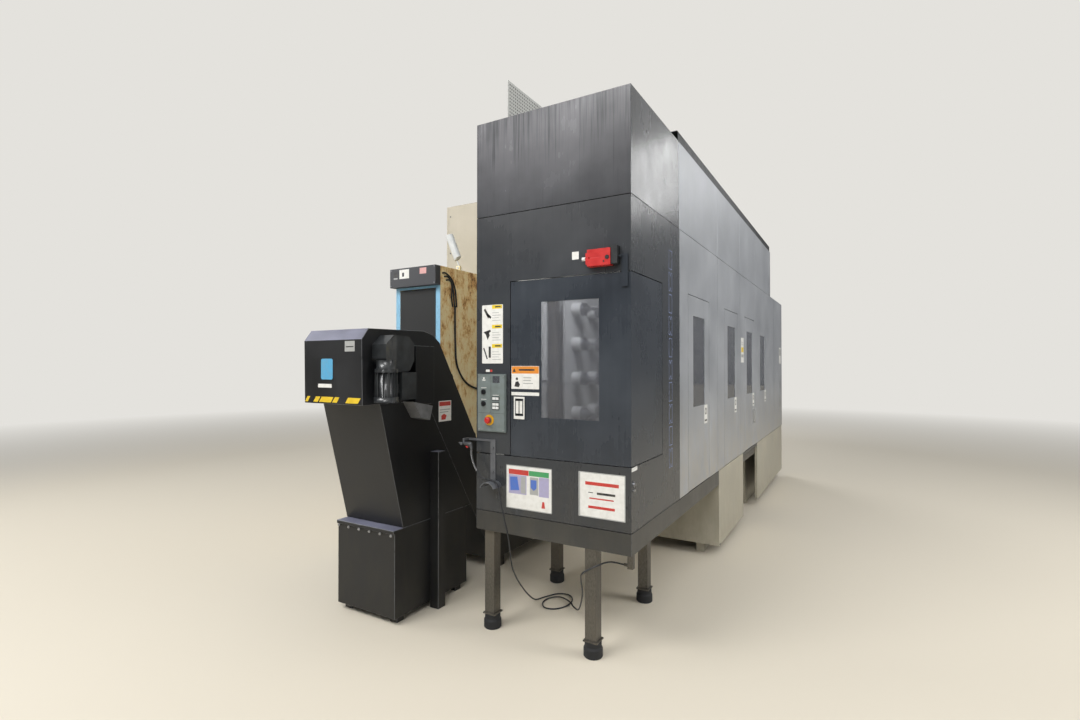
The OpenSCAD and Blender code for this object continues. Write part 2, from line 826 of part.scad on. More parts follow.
module loading_window() {
    px = -load_pane_in - load_pane_w;
    pz = lower_top + load_pane_up;
    color([0.22, 0.24, 0.26, 0.5]) at_corner()
        block([px - pane_lap, sheet + seat, pz - pane_lap],
            [px + load_pane_w + pane_lap, sheet + seat + pane_t, pz + load_pane_h + pane_lap]);
}

module loading_latch() {
    // paddle that lies in its recess and turns on a pin at its top
    color([0.2, 0.2, 0.2]) at_corner()
        difference() {
            union() {
                block([-698, 1, 1284], [-652, 5, 1360]);
                translate([-698, 5, 1360]) rotate([0, 90, 0]) cylinder(h = 46, r = 5);
                // ends of the pin
                translate([-699 + slip, 5, 1360]) rotate([0, 90, 0]) cylinder(h = 48 - 2 * slip, r = 2.5);
            }
            translate([-675, 0, 1284]) rotate([-90, 0, 0]) cylinder(h = 12, r = 12);
        }
}

// centres of the push buttons, from the lower left corner of the button panel
cap_at = [[121, key_h - 143], [144, key_h - 143], [121, key_h - 177], [144, key_h - 177],
    [121, key_h - 197], [144, key_h - 197]];
knob_at = [[47, key_h - 106], [47, key_h - 174]];
stop_at = [89, key_h - 270];

module button_panel() {
    color([0.35, 0.4, 0.4]) at_corner()
        translate([key_x, 0, key_z])
        difference() {
            union() {
                block([0, -key_t + 4, 0], [key_w, -seat, key_h]);
                block([5, -key_t, 5], [key_w - 5, -key_t + 4, key_h - 5]);
                translate([stop_at[0], -key_t, stop_at[1]]) rotate([90, 0, 0])
                    cylinder(h = 4, r = collar_d / 2);
            }
            for (c = cap_at) {
                translate([c[0] - cap_w / 2 - 0.4, -key_t - 1, c[1] - cap_h / 2 - 0.4])
                    cube([cap_w + 0.8, 7, cap_h + 0.8]);
                translate([c[0], -key_t, c[1]]) rotate([-90, 0, 0]) cylinder(h = key_t - 1, r = 3 + run);
            }
            for (c = knob_at)
                translate([c[0], -key_t - 1, c[1]]) rotate([-90, 0, 0]) cylinder(h = key_t, r = 5 + run);
            translate([stop_at[0], -key_t - 5, stop_at[1]]) rotate([-90, 0, 0])
                cylinder(h = key_t + 3, r = 8 + run);
            // recess of the display
            translate([110, -key_t - 1, key_h - 53]) cube([51, 2, 42]);
        }
}

// square cap on a round stem
module push_button(i) {
    c = cap_at[i];
    color([0.9, 0.9, 0.88]) at_corner()
        translate([key_x + c[0], -key_t, key_z + c[1]]) {
            translate([-cap_w / 2, -cap_out, -cap_h / 2]) cube([cap_w, cap_out + 2.5, cap_h]);
            rotate([-90, 0, 0]) cylinder(h = key_t - 1 - cap_travel - 1.5, r = 3);
        }
}

module push_button_1() push_button(0);
module push_button_2() push_button(1);
module push_button_3() push_button(2);
module push_button_4() push_button(3);
module push_button_5() push_button(4);
module push_button_6() push_button(5);

// round knob with a raised grip
module selector_knob(i) {
    c = knob_at[i];
    color([0.12, 0.12, 0.12]) at_corner()
        translate([key_x + c[0], -key_t - seat, key_z + c[1]]) rotate([90, 0, 0]) {
            cylinder(h = 7, r = 15);
            cylinder(h = 12, r = 12);
            translate([-3.5, -14, 0]) cube([7, 28, 19]);
            translate([0, 0, -key_t + 3]) cylinder(h = key_t, r = 5);
        }
}

module selector_knob_1() selector_knob(0);
module selector_knob_2() selector_knob(1);

module estop_button() {
    color([0.85, 0.05, 0.05]) at_corner()
        translate([key_x + stop_at[0], -key_t - 4, key_z + stop_at[1]]) rotate([90, 0, 0])
        rotate_extrude()
        polygon([[0, -key_t + 4], [8, -key_t + 4], [8, 9], [stop_d / 2 - 3, 11], [stop_d / 2, 14],
            [stop_d / 2, 21], [stop_d / 2 - 4, 26], [stop_d / 4, 29], [0, 30]]);
}

module hook_bracket() {
    x0 = saddle_x - 12 - hook_w / 2;
    color([0.6, 0.6, 0.6]) at_corner() {
        // flat bar screwed to the end panel
        block([x0, -5 - seat, saddle_z + saddle_r - 30], [x0 + hook_w, -seat, 1125]);
        for (z = [935, 1075])
            translate([x0 + hook_w / 2, -5 - seat, z]) rotate([90, 0, 0]) cylinder(h = 5, r = 7);
        // saddle for the hose
        translate([saddle_x, -seat, saddle_z])
            rotate([90, 0, 0])
            difference() {
                cylinder(h = 84, r = saddle_r);
                translate([0, 0, -1]) cylinder(h = 86, r = saddle_r - 6);
                translate([-100, 18 - 200, -1]) cube([200, 200, 86]);
            }
        // rest for the gun, bent out of the end of the bar
        rest_x = gun_at[0] - 36;
        rest_z = gun_at[2] - 1 - slip;
        block([rest_x, -5 - seat, 1112], [x0, -seat, 1125]);
        block([rest_x, gun_y + 8, 1112], [rest_x + 12, -seat, 1125]);
        block([rest_x, gun_y + 8, rest_z - 4], [rest_x + 12, gun_y + 12, 1125]);
        block([rest_x, gun_y - 14, rest_z - 4], [rest_x + 12, gun_y + 12, rest_z]);
        block([rest_x, gun_y - 14, rest_z - 4], [rest_x + 12, gun_y - 10, rest_z + 8]);
    }
}

module air_gun() {
    color([0.25, 0.26, 0.28]) at_corner()
        translate(gun_at) {
            hull() {
                translate([28, 0, 2]) sphere(r = 13, $fn = 24);
                translate([-12, 0, 4]) sphere(r = 10, $fn = 24);
            }
            translate([-10, 0, 4]) rotate([0, -90, 0]) cylinder(h = 46, r = 5);
            hull() {
                translate([30, 0, 0]) sphere(r = 11, $fn = 24);
                translate([35, 0, -20]) cylinder(h = 2, r = 10, $fn = 24);
            }
            translate([35, 0, -32]) cylinder(h = 13, r = 8);
            // ears that hold the pin of the trigger
            for (y = [-6, 3.4])
                translate([trig_x, y, trig_z])
                difference() {
                    block([-4, 0, -4], [4, 2.6, 12]);
                    translate([0, -1, 0]) rotate([-90, 0, 0]) cylinder(h = 5, r = 2 + run);
                }
        }
}

module air_gun_trigger() {
    color([0.7, 0.1, 0.1]) at_corner()
        translate(gun_at) {
            translate([trig_x, -3, trig_z])
                rotate([-90, 0, 0])
                linear_extrude(6)
                polygon([[-20, -2.2], [1, -2], [3, 0], [0, 7], [-7, 9], [-17, 3]]);
            translate([trig_x, -6, trig_z]) rotate([-90, 0, 0]) cylinder(h = 12, r = 2);
        }
}

// ring of points round a route point
function ring(p, i, r, n) = let(a = p[max(i - 1, 0)], b = p[min(i + 1, len(p) - 1)],
    t = (b - a) / norm(b - a),
    s = abs(t[2]) > 0.9 ? [1, 0, 0] : [0, 0, 1],
    u = cross(t, s) / norm(cross(t, s)), v = cross(t, u))
    [for (k = [0:n - 1]) p[i] + r * (cos(k * 360 / n) * u + sin(k * 360 / n) * v)];

module air_hose() {
    n = 8;
    m = len(hose_pts);
    color([0.12, 0.12, 0.13]) at_corner()
        polyhedron(
            points = [for (i = [0:m - 1]) each ring(hose_pts, i, hose_d / 2, n)],
            faces = concat(
                [[for (k = [0:n - 1]) k]],
                [for (i = [0:m - 2]) for (k = [0:n - 1])
                    [i * n + k, (i + 1) * n + k, (i + 1) * n + (k + 1) % n, i * n + (k + 1) % n]],
                [[for (k = [0:n - 1]) m * n - 1 - k]]));
}

// a door in the flank
module flank_door(i) {
    y0 = side_y[i];
    y1 = y0 + side_w;
    z0 = side_bottom;
    z1 = side_top - door_gap;
    color([0.64, 0.66, 0.68]) at_corner()
        difference() {
            union() {
                flank_tray(y0, y1, z0, z1, leaf_d);
                translate([0, y0, z0]) mirror([0, 1, 0]) hinge_block(false);
                translate([0, y0, z1]) mirror([0, 1, 0]) hinge_block(true);
                if (i == 2) {
                    // pull handle of the third door
                    block([-sheet, y1 - 104, 934], [4, y1 - 64, 1109]);
                    block([0, y1 - 92, 950], [handle_out, y1 - 76, 964]);
                    block([0, y1 - 92, 1079], [handle_out, y1 - 76, 1093]);
                    block([handle_out - 8, y1 - 92, 950], [handle_out, y1 - 76, 1093]);
                }
            }
            block([-leaf_d - 1, y0 + side_pane_in, side_pane_z],
                [1, y0 + side_pane_in + side_pane_w, side_pane_z + side_pane_h]);
            translate([0, y0, z0]) mirror([0, 1, 0]) hinge_bore(false);
            translate([0, y0, z1]) mirror([0, 1, 0]) hinge_bore(true);
        }
}

module flank_door_1() flank_door(0);
module flank_door_2() flank_door(1);
module flank_door_3() flank_door(2);

module flank_window(i) {
    color([0.25, 0.27, 0.28, 0.5]) at_corner()
        side_pane(side_y[i] + side_pane_in, side_pane_z, side_pane_w, side_pane_h);
}

module flank_window_1() flank_window(0);
module flank_window_2() flank_window(1);
module flank_window_3() flank_window(2);

// places of the pots, row by row
pot_at = [for (r = [0:pot_rows - 1]) for (c = [0:pot_cols - 1])
    [pot_y + c * pot_pitch, pot_z + r * pot_pitch, r, c]];

module tool_rack() {
    len_y = (pot_cols - 1) * pot_pitch + 300;
    color([0.75, 0.76, 0.74]) at_corner() {
        difference() {
            union() {
                translate([rack_x, pot_y - 150, rack_z]) cube([rack_t, len_y, rack_h]);
                for (p = pot_at)
                    translate([rack_x, p[0], p[1]]) rotate([0, 90, 0]) cylinder(h = rack_t + pot_len, r = pot_r);
            }
            for (p = pot_at)
                translate([rack_x - 1, p[0], p[1]]) rotate([0, 90, 0])
                    cylinder(h = rack_t + pot_len + 2, r = pot_bore);
        }
        // feet that carry the magazine wall on the floor sheets
        for (y = [pot_y - 100, pot_y + len_y / 2 - 180, pot_y + len_y - 260])
            block([rack_x, y, rail_z + sheet + seat], [rack_x + rack_t + 40, y + 60, rack_z - seat]);
    }
}

// tool in its holder, turned from one profile
module tool(len, r) {
    rotate([0, 90, 0])
        rotate_extrude()
        polygon([[0, -pot_len + 6], [pot_bore - 6, -pot_len + 6], [pot_bore - 1, seat],
            [flange_r, seat], [flange_r, 9], [flange_r - 7, 12], [flange_r - 7, 15],
            [flange_r, 18], [flange_r, 27], [28, 30], [24, 55], [r, 58], [r, 30 + len],
            [0, 30 + len]]);
}

module tool_holders() {
    color([0.5, 0.5, 0.52]) at_corner()
        for (p = pot_at)
            translate([pot_front, p[0], p[1]])
                tool(tool_len - 22 * ((p[2] + 2 * p[3]) % 3), 9 + 5 * ((p[2] + p[3]) % 3));
}

module shuttle_column() {
    color([0.8, 0.8, 0.78]) at_corner()
        translate([-mast_in - mast_w, mast_y - mast_w / 2, 0]) {
            // mast, foot and two guide bars
            block([-90, -140, rail_z + sheet + slip], [mast_w + 20, mast_w + 140, rail_z + sheet + 52]);
            block([0, 0, rail_z + sheet + 52], [mast_w, mast_w, rail_z + sheet + 52 + mast_h]);
            for (y = [12, mast_w - 32])
                block([-16, y, rail_z + sheet + 80], [0, y + 20, rail_z + sheet + 30 + mast_h]);
        }
}

module shuttle_lift() {
    color([0.3, 0.32, 0.35]) at_corner()
        translate([-mast_in - mast_w, mast_y, lift_z])
        difference() {
            union() {
                block([-70, -70, 0], [-slip, 70, 180]);
                block([-240, -50, 130], [-69, 50, 180]);
            }
            for (y = [-mast_w / 2 + 12, mast_w / 2 - 32])
                block([-16 - slip, y - slip, -1], [1, y + 20 + slip, 181]);
            translate([grip_x + mast_in + mast_w, 0, 129]) cylinder(h = 60, r = 22 + run);
        }
}

module tool_gripper() {
    color([0.85, 0.5, 0.1]) at_corner()
        translate([grip_x, mast_y, lift_z]) {
            translate([0, 0, -60]) cylinder(h = 238, r = 22);
            // collar that carries the arm on top of the lift
            translate([0, 0, 180 + slip]) cylinder(h = 14, r = 34);
            cylinder(h = 181 + slip, r = 22);
            difference() {
                translate([-34, -grip_len, -60]) cube([68, 2 * grip_len, 44]);
                for (s = [-1, 1]) {
                    translate([0, s * (grip_len - 34), -61]) cylinder(h = 46, r = 26);
                    translate([-18, s > 0 ? grip_len - 34 : -grip_len - 1, -61]) cube([36, 35, 46]);
                }
            }
        }
}

module machine_bed() {
    x0 = bed_x - bed_w / 2;
    color([0.45, 0.47, 0.48]) at_corner() {
        difference() {
            union() {
                block([x0, bed_y, pad_h], [x0 + bed_w, bed_y + bed_len, bed_top]);
                block([x0, bed_y, bed_top], [x0 + bed_w, bed_y + col_d + 300, way_top]);
            }
            // chip trough between the table ways
            block([bed_x - 190, bed_y + col_d + 340, bed_top - 160],
                [bed_x + 190, bed_y + bed_len + 1, bed_top + 1]);
            for (y = [bed_y + 420, bed_y + 900])
                translate([x0 - 1, y, pad_h + 70]) cube([140, 300, bed_h - 120]);
        }
        // guide rails of the column and of the table
        for (y = [col_y + 60, col_y + col_d - 60 - way_w])
            block([x0 + 20, y, way_top], [x0 + bed_w - 20, y + way_w, way_top + guide]);
        for (x = [bed_x - way_half, bed_x + way_half - way_w])
            block([x, bed_y + col_d + 350, bed_top], [x + way_w, bed_y + bed_len - 60, bed_top + guide]);
        // brackets that the cell walls are bolted to
        for (y = [bed_y + 200, bed_y + bed_len - 400]) {
            block([-depth + panel_d + seat, y, 200], [x0, y + 80, 212]);
            block([x0 + bed_w, y, 200], [cell_x - panel_d - seat, y + 80, 212]);
        }
    }
}

module machine_column() {
    x0 = bed_x - col_w / 2;
    color([0.8, 0.81, 0.8]) at_corner() {
        difference() {
            union() {
                block([x0, col_y, col_z], [x0 + col_w, col_y + col_d, col_z + 160]);
                // tapered sides seen from the rear
                translate([x0 + 40, 0, 0])
                    rotate([90, 0, 90])
                    linear_extrude(col_w - 80)
                    polygon([[col_y + 30, col_z + 150], [col_y + col_d, col_z + 150],
                        [col_y + col_d, col_z + col_h], [col_y + 260, col_z + col_h],
                        [col_y + 30, col_z + 520]]);
            }
            // weight saving window through the column
            block([x0 + 240, col_y + 380, col_z + 560], [x0 + col_w - 240, col_y + col_d + 1, col_z + col_h - 160]);
        }
        for (x = [x0 + 90, x0 + col_w - 160])
            block([x, col_y + col_d, col_z + 180], [x + 70, col_y + col_d + guide, col_z + col_h - 20]);
    }
}

module spindle_head() {
    color([0.75, 0.76, 0.75]) at_corner()
        difference() {
            union() {
                block([bed_x - plate_w / 2, head_y, head_z],
                    [bed_x + plate_w / 2, head_y + plate_t, head_z + head_w]);
                translate([bed_x, head_y + plate_t - 10, spindle_z]) rotate([-90, 0, 0])
                    cylinder(h = head_len - plate_t + 10, r = head_w / 2 - cowl_in);
            }
            translate([bed_x, head_y + spindle_foot, spindle_z]) rotate([-90, 0, 0])
                cylinder(h = head_len, r = spindle_r + run);
        }
}

module spindle() {
    color([0.7, 0.7, 0.72]) at_corner()
        translate([bed_x, head_y + spindle_foot + seat, spindle_z]) rotate([-90, 0, 0]) {
            reach = head_len - spindle_foot + 80;
            difference() {
                rotate_extrude()
                    polygon([[0, 0], [spindle_r, 0], [spindle_r, reach - 70],
                        [spindle_r - cowl_in, reach - 40], [spindle_r - cowl_in, reach], [0, reach]]);
                translate([0, 0, reach - 100]) cylinder(h = 101, r = pot_bore + 1);
            }
        }
}

module table_saddle() {
    color([0.55, 0.57, 0.58]) at_corner()
        difference() {
            block([bed_x - cross_w / 2, table_y - cross_l / 2, cross_z],
                [bed_x + cross_w / 2, table_y + cross_l / 2, cross_z + cross_h]);
            translate([bed_x, table_y, cross_z + cross_h - hub_h - hub_gap])
                cylinder(h = hub_h + hub_gap + 1, r = hub_r + run);
        }
}

module rotary_table() {
    z = cross_z + cross_h + slip;
    color([0.6, 0.62, 0.63]) at_corner()
        translate([bed_x, table_y, z]) {
            translate([0, 0, -hub_h]) cylinder(h = hub_h + 1, r = hub_r);
            cylinder(h = table_h - pallet_h, r = table_r);
            difference() {
                translate([-pallet_w / 2, -pallet_w / 2, table_h - pallet_h])
                    cube([pallet_w, pallet_w, pallet_h]);
                // rows of fixing slots
                for (i = [-2:2])
                    translate([-pallet_w / 2 - 1, i * slot_pitch - slot_w / 2, table_h - slot_w])
                        cube([pallet_w + 2, slot_w, slot_w + 1]);
            }
        }
}

module cell_panels() {
    left = -depth;
    wall = panel_d;
    color([0.85, 0.84, 0.78]) at_corner() {
        // left side, rear and roof
        for (i = [0:2])
            block([left, cell_y + i * (upper_len - cell_y) / 3, 100],
                [left + wall, cell_y + (i + 1) * (upper_len - cell_y) / 3 - seat, cell_h]);
        block([left, upper_len, 100], [left + wall, y_end, mid_top]);
        block([left + wall + seat, cell_y, 100], [cell_x, cell_y + wall, cell_h]);
        block([left + wall + seat, cell_y + wall + seat, cell_h - wall],
            [cell_x - wall - seat, upper_len - wall - seat, cell_h]);
        block([left + wall + seat, upper_len + seat, mid_top - wall],
            [cell_x - wall - seat, y_end - wall - seat, mid_top]);
        block([left + wall + seat, upper_len - wall, mid_top - wall],
            [cell_x - wall - seat, upper_len, cell_h]);
        // right side above the tower and beside the magazine
        block([cell_x - wall, cell_y + wall + seat, 2300], [cell_x, upper_len, cell_h]);
        block([cell_x - wall, cell_y + wall + seat, pad_h + 40], [cell_x, y_end - wall - seat, 900]);
        block([cell_x - wall, cell_y + 1000, 900 + seat], [cell_x, y_end - wall - seat, 2300 - seat]);
        block([cell_x - wall, upper_len + seat, 2300], [cell_x, y_end - wall - seat, mid_top]);
        // front with the opening for the operator
        translate([0, y_end - wall, 0]) {
            block([left + wall + seat, 0, 100], [cell_x, wall, gate_z]);
            block([left + wall + seat, 0, gate_z + gate_h], [cell_x, wall, mid_top]);
            block([left + wall + seat, 0, gate_z + seat],
                [gate_x - gate_w / 2, wall, gate_z + gate_h - seat]);
            block([gate_x + gate_w / 2, 0, gate_z + seat], [cell_x, wall, gate_z + gate_h - seat]);
        }
        // door tracks
        for (z = [gate_z - gate_over - track_h, gate_z + gate_h + gate_over])
            block([left + track_in, y_end + seat, z],
                [gate_x + gate_w / 2 + 60, y_end + track_d, z + track_h]);
    }
}

module cell_door() {
    x0 = gate_x - gate_w / 2 - gate_lip;
    x1 = gate_x + gate_w / 2 + gate_lip;
    color([0.5, 0.52, 0.54]) at_corner() {
        difference() {
            block([x0, y_end + leaf_off, gate_z - gate_over + slip],
                [x1, y_end + leaf_off + leaf_t, gate_z + gate_h + gate_over - slip]);
            block([x0 + pane_edge, y_end + leaf_off - 1, pane_low + pane_lip],
                [x1 - pane_edge, y_end + leaf_off + leaf_t + 1, pane_high - pane_lip]);
            // rebate for the pane
            block([x0 + pane_edge - pane_lip, y_end + leaf_off - 1, pane_low],
                [x1 - pane_edge + pane_lip, y_end + leaf_off + 2 * pane_t, pane_high]);
        }
        // bar handle
        translate([x1 - pane_edge / 2, y_end + leaf_off + leaf_t, gate_z + gate_h / 4]) {
            for (z = [0, bar_l - bar_d])
                block([-bar_d / 2, 0, z], [bar_d / 2, 2 * bar_d, z + bar_d]);
            block([-bar_d / 2, 2 * bar_d - 10, 0], [bar_d / 2, 3 * bar_d - 10, bar_l]);
        }
    }
}

module cell_window() {
    x0 = gate_x - gate_w / 2 - gate_lip;
    x1 = gate_x + gate_w / 2 + gate_lip;
    color([0.3, 0.33, 0.35, 0.5]) at_corner()
        block([x0 + pane_edge - pane_lip + seat, y_end + leaf_off + pane_t, pane_low + seat],
            [x1 - pane_edge + pane_lip - seat, y_end + leaf_off + 2 * pane_t - seat, pane_high - seat]);
}

module control_pendant() {
    // console on a post bracket at the far end of the tower
    color([0.2, 0.21, 0.23]) at_corner()
        translate([-300, y_end, 0]) {
            difference() {
                translate([-arm_in - desk_w, desk_y, desk_z])
                    rotate([90, 0, 90])
                    linear_extrude(desk_w)
                    polygon([[-desk_d / 2, 0], [desk_d * 0.9, 0], [desk_d * 1.1, desk_h / 15],
                        [desk_d / 2, desk_h * 0.3], [desk_d / 2, desk_h], [-desk_d / 2, desk_h]]);
                // recess of the screen
                translate([-arm_in - desk_w * 0.93, desk_y + desk_d / 2 - 4, desk_z + desk_h * 0.37])
                    cube([desk_w * 0.86, 10, desk_h * 0.57]);
            }
            // sleeve that turns on the pin of the bracket
            difference() {
                union() {
                    translate([0, desk_y, sleeve_z]) cylinder(h = sleeve_h, r = sleeve_r);
                    translate([-arm_in - 1, desk_y - 15, sleeve_z + 40]) cube([arm_in + 1, 30, sleeve_h - 80]);
                }
                translate([0, desk_y, sleeve_z - 1]) cylinder(h = sleeve_h + 2, r = sleeve_r / 2 + run);
            }
        }
}

module conveyor_casing() {
    inner = inset(conv_side, conv_plate);
    color([0.1, 0.1, 0.11]) at_corner() {
        difference() {
            translate([conv_x, 0, 0]) rotate([90, 0, 90]) linear_extrude(conv_w) polygon(conv_side);
            translate([conv_x + conv_plate, 0, 0]) rotate([90, 0, 90])
                linear_extrude(conv_w - 2 * conv_plate) polygon(inner);
            // discharge mouth in the floor of the head
            block([conv_x + 30, -conv_front + 14, lip_z - 1],
                [-conv_in - 30, drive_y - 80, lip_z + conv_plate + 1]);
            // loading opening on top of the low run
            block([conv_x + 40, run_end - 620, run_z + run_h - conv_plate - 1],
                [-conv_in - 40, run_end - 60, run_z + run_h + 1]);
            // bores for the drive shaft
            translate([conv_x - 1, drive_y, drive_z]) rotate([0, 90, 0])
                cylinder(h = conv_w + 2, r = shaft_r + run);
        }
        // ribs along the slope
        for (s = [250, 750])
            translate([0, tip[0], tip[1]])
                rotate([90 - slope, 0, 0])
                block([conv_x + 10, 0, -s - 30], [-conv_in - 10, 14, -s]);
        // bearing flange on the left
        translate([conv_x, drive_y, drive_z]) rotate([0, -90, 0])
            difference() {
                cylinder(h = 22, r = 62);
                translate([0, 0, -1]) cylinder(h = 24, r = shaft_r + run);
            }
        // column under the head, closed by sheet all round
        stand = [[drive_y - 70, stand_top], [tank_y + 70, tank_h + seat],
            root_at(tank_h + seat) - [seat, 0], root_at(stand_top) - [seat, 0]];
        rotate([90, 0, 90])
            difference() {
                translate([0, 0, conv_x]) linear_extrude(conv_w) polygon(stand);
                translate([0, 0, conv_x + conv_plate])
                    linear_extrude(conv_w - 2 * conv_plate) polygon(inset(stand, conv_plate));
            }
        // posts beside the column
        for (x = [conv_x - 70, -conv_in + seat])
            block([x, 60, 0], [x + 70 - seat, 130, 1005]);
        for (x = [conv_x + 20, -conv_in - 90])
            for (y = [knee_in[0] + 100, run_end - 140])
                block([x, y, 0], [x + 70, y + 70, run_z - seat]);
        // chain guard and drip hood on the right
        block([gear_x, drive_y + 165, drive_z - 312], [gear_x + 58, drive_y + 330, drive_z + 52]);
        translate([gear_x, 0, 0]) rotate([90, 0, 90])
            linear_extrude(90)
            polygon([[-185, 1340], [-20, 1306], [-45, 1222], [-118, 1240]]);
    }
}

// point at height z on the underside of the slope, t inside the casing
function root_at(z, t = 0) = let(p = root - across * t) p + down * ((p[1] - z) / sin(slope));

// point at height z on the upper side of the slope, t inside the casing
function tip_at(z, t = 0) = let(p = tip + across * t) p + down * ((p[1] - z) / sin(slope));

// closed loop of the chain round the head drum and the tail, t inside its outer face
function loop(t) = concat(
    [for (a = [90:6:270]) [drive_y, drive_z] + (belt_r - t) * [cos(a), sin(a)]],
    [root_at(drive_z - belt_r + t, belt_in + t), root_at(run_z + belt_in + t, belt_in + t)],
    [for (a = [-90:30:90]) [tail_y, run_z + run_h / 2] + (tail_r - t) * [cos(a), sin(a)]],
    [tip_at(run_z + run_h - belt_in - t, belt_in + t), tip_at(drive_z + belt_r - t, belt_in + t)]);

module conveyor_belt() {
    color([0.45, 0.44, 0.42]) at_corner()
        translate([conv_x + 40, 0, 0])
        rotate([90, 0, 90]) {
            linear_extrude(conv_w - 80)
                difference() {
                    polygon(loop(0));
                    polygon(loop(belt_t));
                }
            // pushers across the slope
            for (s = [160:260:1400])
                translate(tip + across * (belt_in + 1) + down * s)
                    rotate(-slope)
                    linear_extrude(conv_w - 80)
                    square([8, 20]);
        }
}

module conveyor_drive() {
    color([0.5, 0.5, 0.5]) at_corner() {
        translate([conv_x - 30, drive_y, drive_z]) rotate([0, 90, 0]) {
            cylinder(h = conv_w + 60, r = shaft_r);
            for (x = [80, conv_w - 50])
                translate([0, 0, x]) cylinder(h = 30, r = belt_r - belt_t - slip);
        }
    }
}

module gearmotor() {
    color([0.12, 0.12, 0.13]) at_corner() {
        // gear case round the drive shaft
        difference() {
            translate([gear_x, 0, 0]) rotate([90, 0, 90])
                linear_extrude(110)
                polygon([[drive_y - 100, drive_z - 70], [drive_y - 60, drive_z - 110],
                    [drive_y + 60, drive_z - 100], [drive_y + 95, drive_z - 40],
                    [drive_y + 95, drive_z + 60], [drive_y + 50, drive_z + 100],
                    [drive_y - 70, drive_z + 105], [drive_y - 130, drive_z + 50],
                    [drive_y - 130, drive_z - 30]]);
            translate([gear_x - 1, drive_y, drive_z]) rotate([0, 90, 0])
                cylinder(h = 60, r = shaft_r + run);
        }
        // motor with cooling fins
        translate([gear_x + 72, drive_y - 90, drive_z - 100 - motor_len]) {
            cylinder(h = motor_len + 60, r = motor_d / 2 - 14);
            cylinder(h = 30, r = motor_d / 2);
            translate([0, 0, motor_len - 10]) cylinder(h = 22, r = motor_d / 2 - 4);
            for (i = [0:11])
                rotate([0, 0, i * 30]) translate([0, -3, 30])
                    cube([motor_d / 2 - 4, 6, motor_len - 30]);
            translate([-60, motor_d / 2 + 14, 10]) cube([100, 120, 160]);
            translate([-20, motor_d / 2 - 24, 50]) cube([40, 50, 50]);
        }
    }
}

module cabinet() {
    x0 = -cab_in - cab_w;
    d = sheet;
    color([0.8, 0.78, 0.7]) at_corner() {
        difference() {
            block([x0, cab_y, 100], [-cab_in, cell_y - seat, cab_h]);
            // opening for the inset door
            block([x0 + cab_rim, cab_y - 1, cab_foot], [-cab_in - cab_rim, cab_y + 1000, cab_sill]);
        }
        for (x = [x0 + 20, -cab_in - 100])
            for (y = [cab_y + 30, cell_y - 130])
                block([x, y, 0], [x + 80, y + 80, 100]);
        // header box that stands out above the door
        block([x0 - 14, cab_y - 60, cab_h - cab_head], [-cab_in - 1, cab_y - seat, cab_h]);
        // pivot pins of the door
        translate([x0 + cab_rim + door_gap + pin_back, cab_y + pin_in, cab_foot - 2])
            cylinder(h = hinge_h - 6, r = pin_r);
        translate([x0 + cab_rim + door_gap + pin_back, cab_y + pin_in, cab_sill - hinge_h + 8])
            cylinder(h = hinge_h - 6, r = pin_r);
        // lug of the lamp
        translate([-cab_in - 60, cab_y + 280, cab_h])
            difference() {
                cube([40, 20, 44]);
                translate([20, -1, 26]) rotate([-90, 0, 0]) cylinder(h = 22, r = 6 + run);
            }
    }
}

module cabinet_door() {
    x0 = -cab_in - cab_w + cab_rim + door_gap;
    x1 = -cab_in - cab_rim - door_gap;
    z0 = cab_foot + door_gap;
    z1 = cab_sill - door_gap;
    color([0.1, 0.1, 0.11]) at_corner() {
        difference() {
            union() {
                difference() {
                    block([x0, cab_y, z0], [x1, cab_y + 24, z1]);
                    block([x0 + sheet, cab_y + sheet, z0 + sheet], [x1 - sheet, cab_y + 25, z1 - sheet]);
                }
                block([x0, cab_y + 1, z0], [x0 + pin_back + 8, cab_y + 21, z0 + hinge_h]);
                block([x0, cab_y + 1, z1 - hinge_h], [x0 + pin_back + 8, cab_y + 21, z1]);
            }
            translate([x0 + pin_back, cab_y + pin_in, z0 - 1])
                cylinder(h = hinge_h - 1, r = pin_r + run);
            translate([x0 + pin_back, cab_y + pin_in, z1 - hinge_h + 2])
                cylinder(h = hinge_h - 1, r = pin_r + run);
        }
        // turn handle with its plate
        block([x1 - 52, cab_y - 6, 1150], [x1 - 28, cab_y, 1290]);
        block([x1 - 46, cab_y - 16, 1180], [x1 - 34, cab_y - 6, 1280]);
    }
}

module coolant_tank() {
    // closed tank under the head and the slope of the conveyor
    x0 = conv_x;
    color([0.12, 0.12, 0.13]) at_corner() {
        difference() {
            block([x0, tank_y, 40], [-conv_in, tank_y + tank_len, tank_h]);
            block([x0 + 5, tank_y + 5, 45], [-conv_in - 5, tank_y + tank_len - 5, tank_h - 5]);
        }
        // rim round the lid
        block([x0, tank_y - 12, tank_h - 22], [-conv_in, tank_y, tank_h]);
        for (x = [x0 + 20, -conv_in - 80])
            for (y = [tank_y + 40, tank_y + tank_len - 100])
                block([x, y, 0], [x + 60, y + 60, 40 - seat]);
    }
}

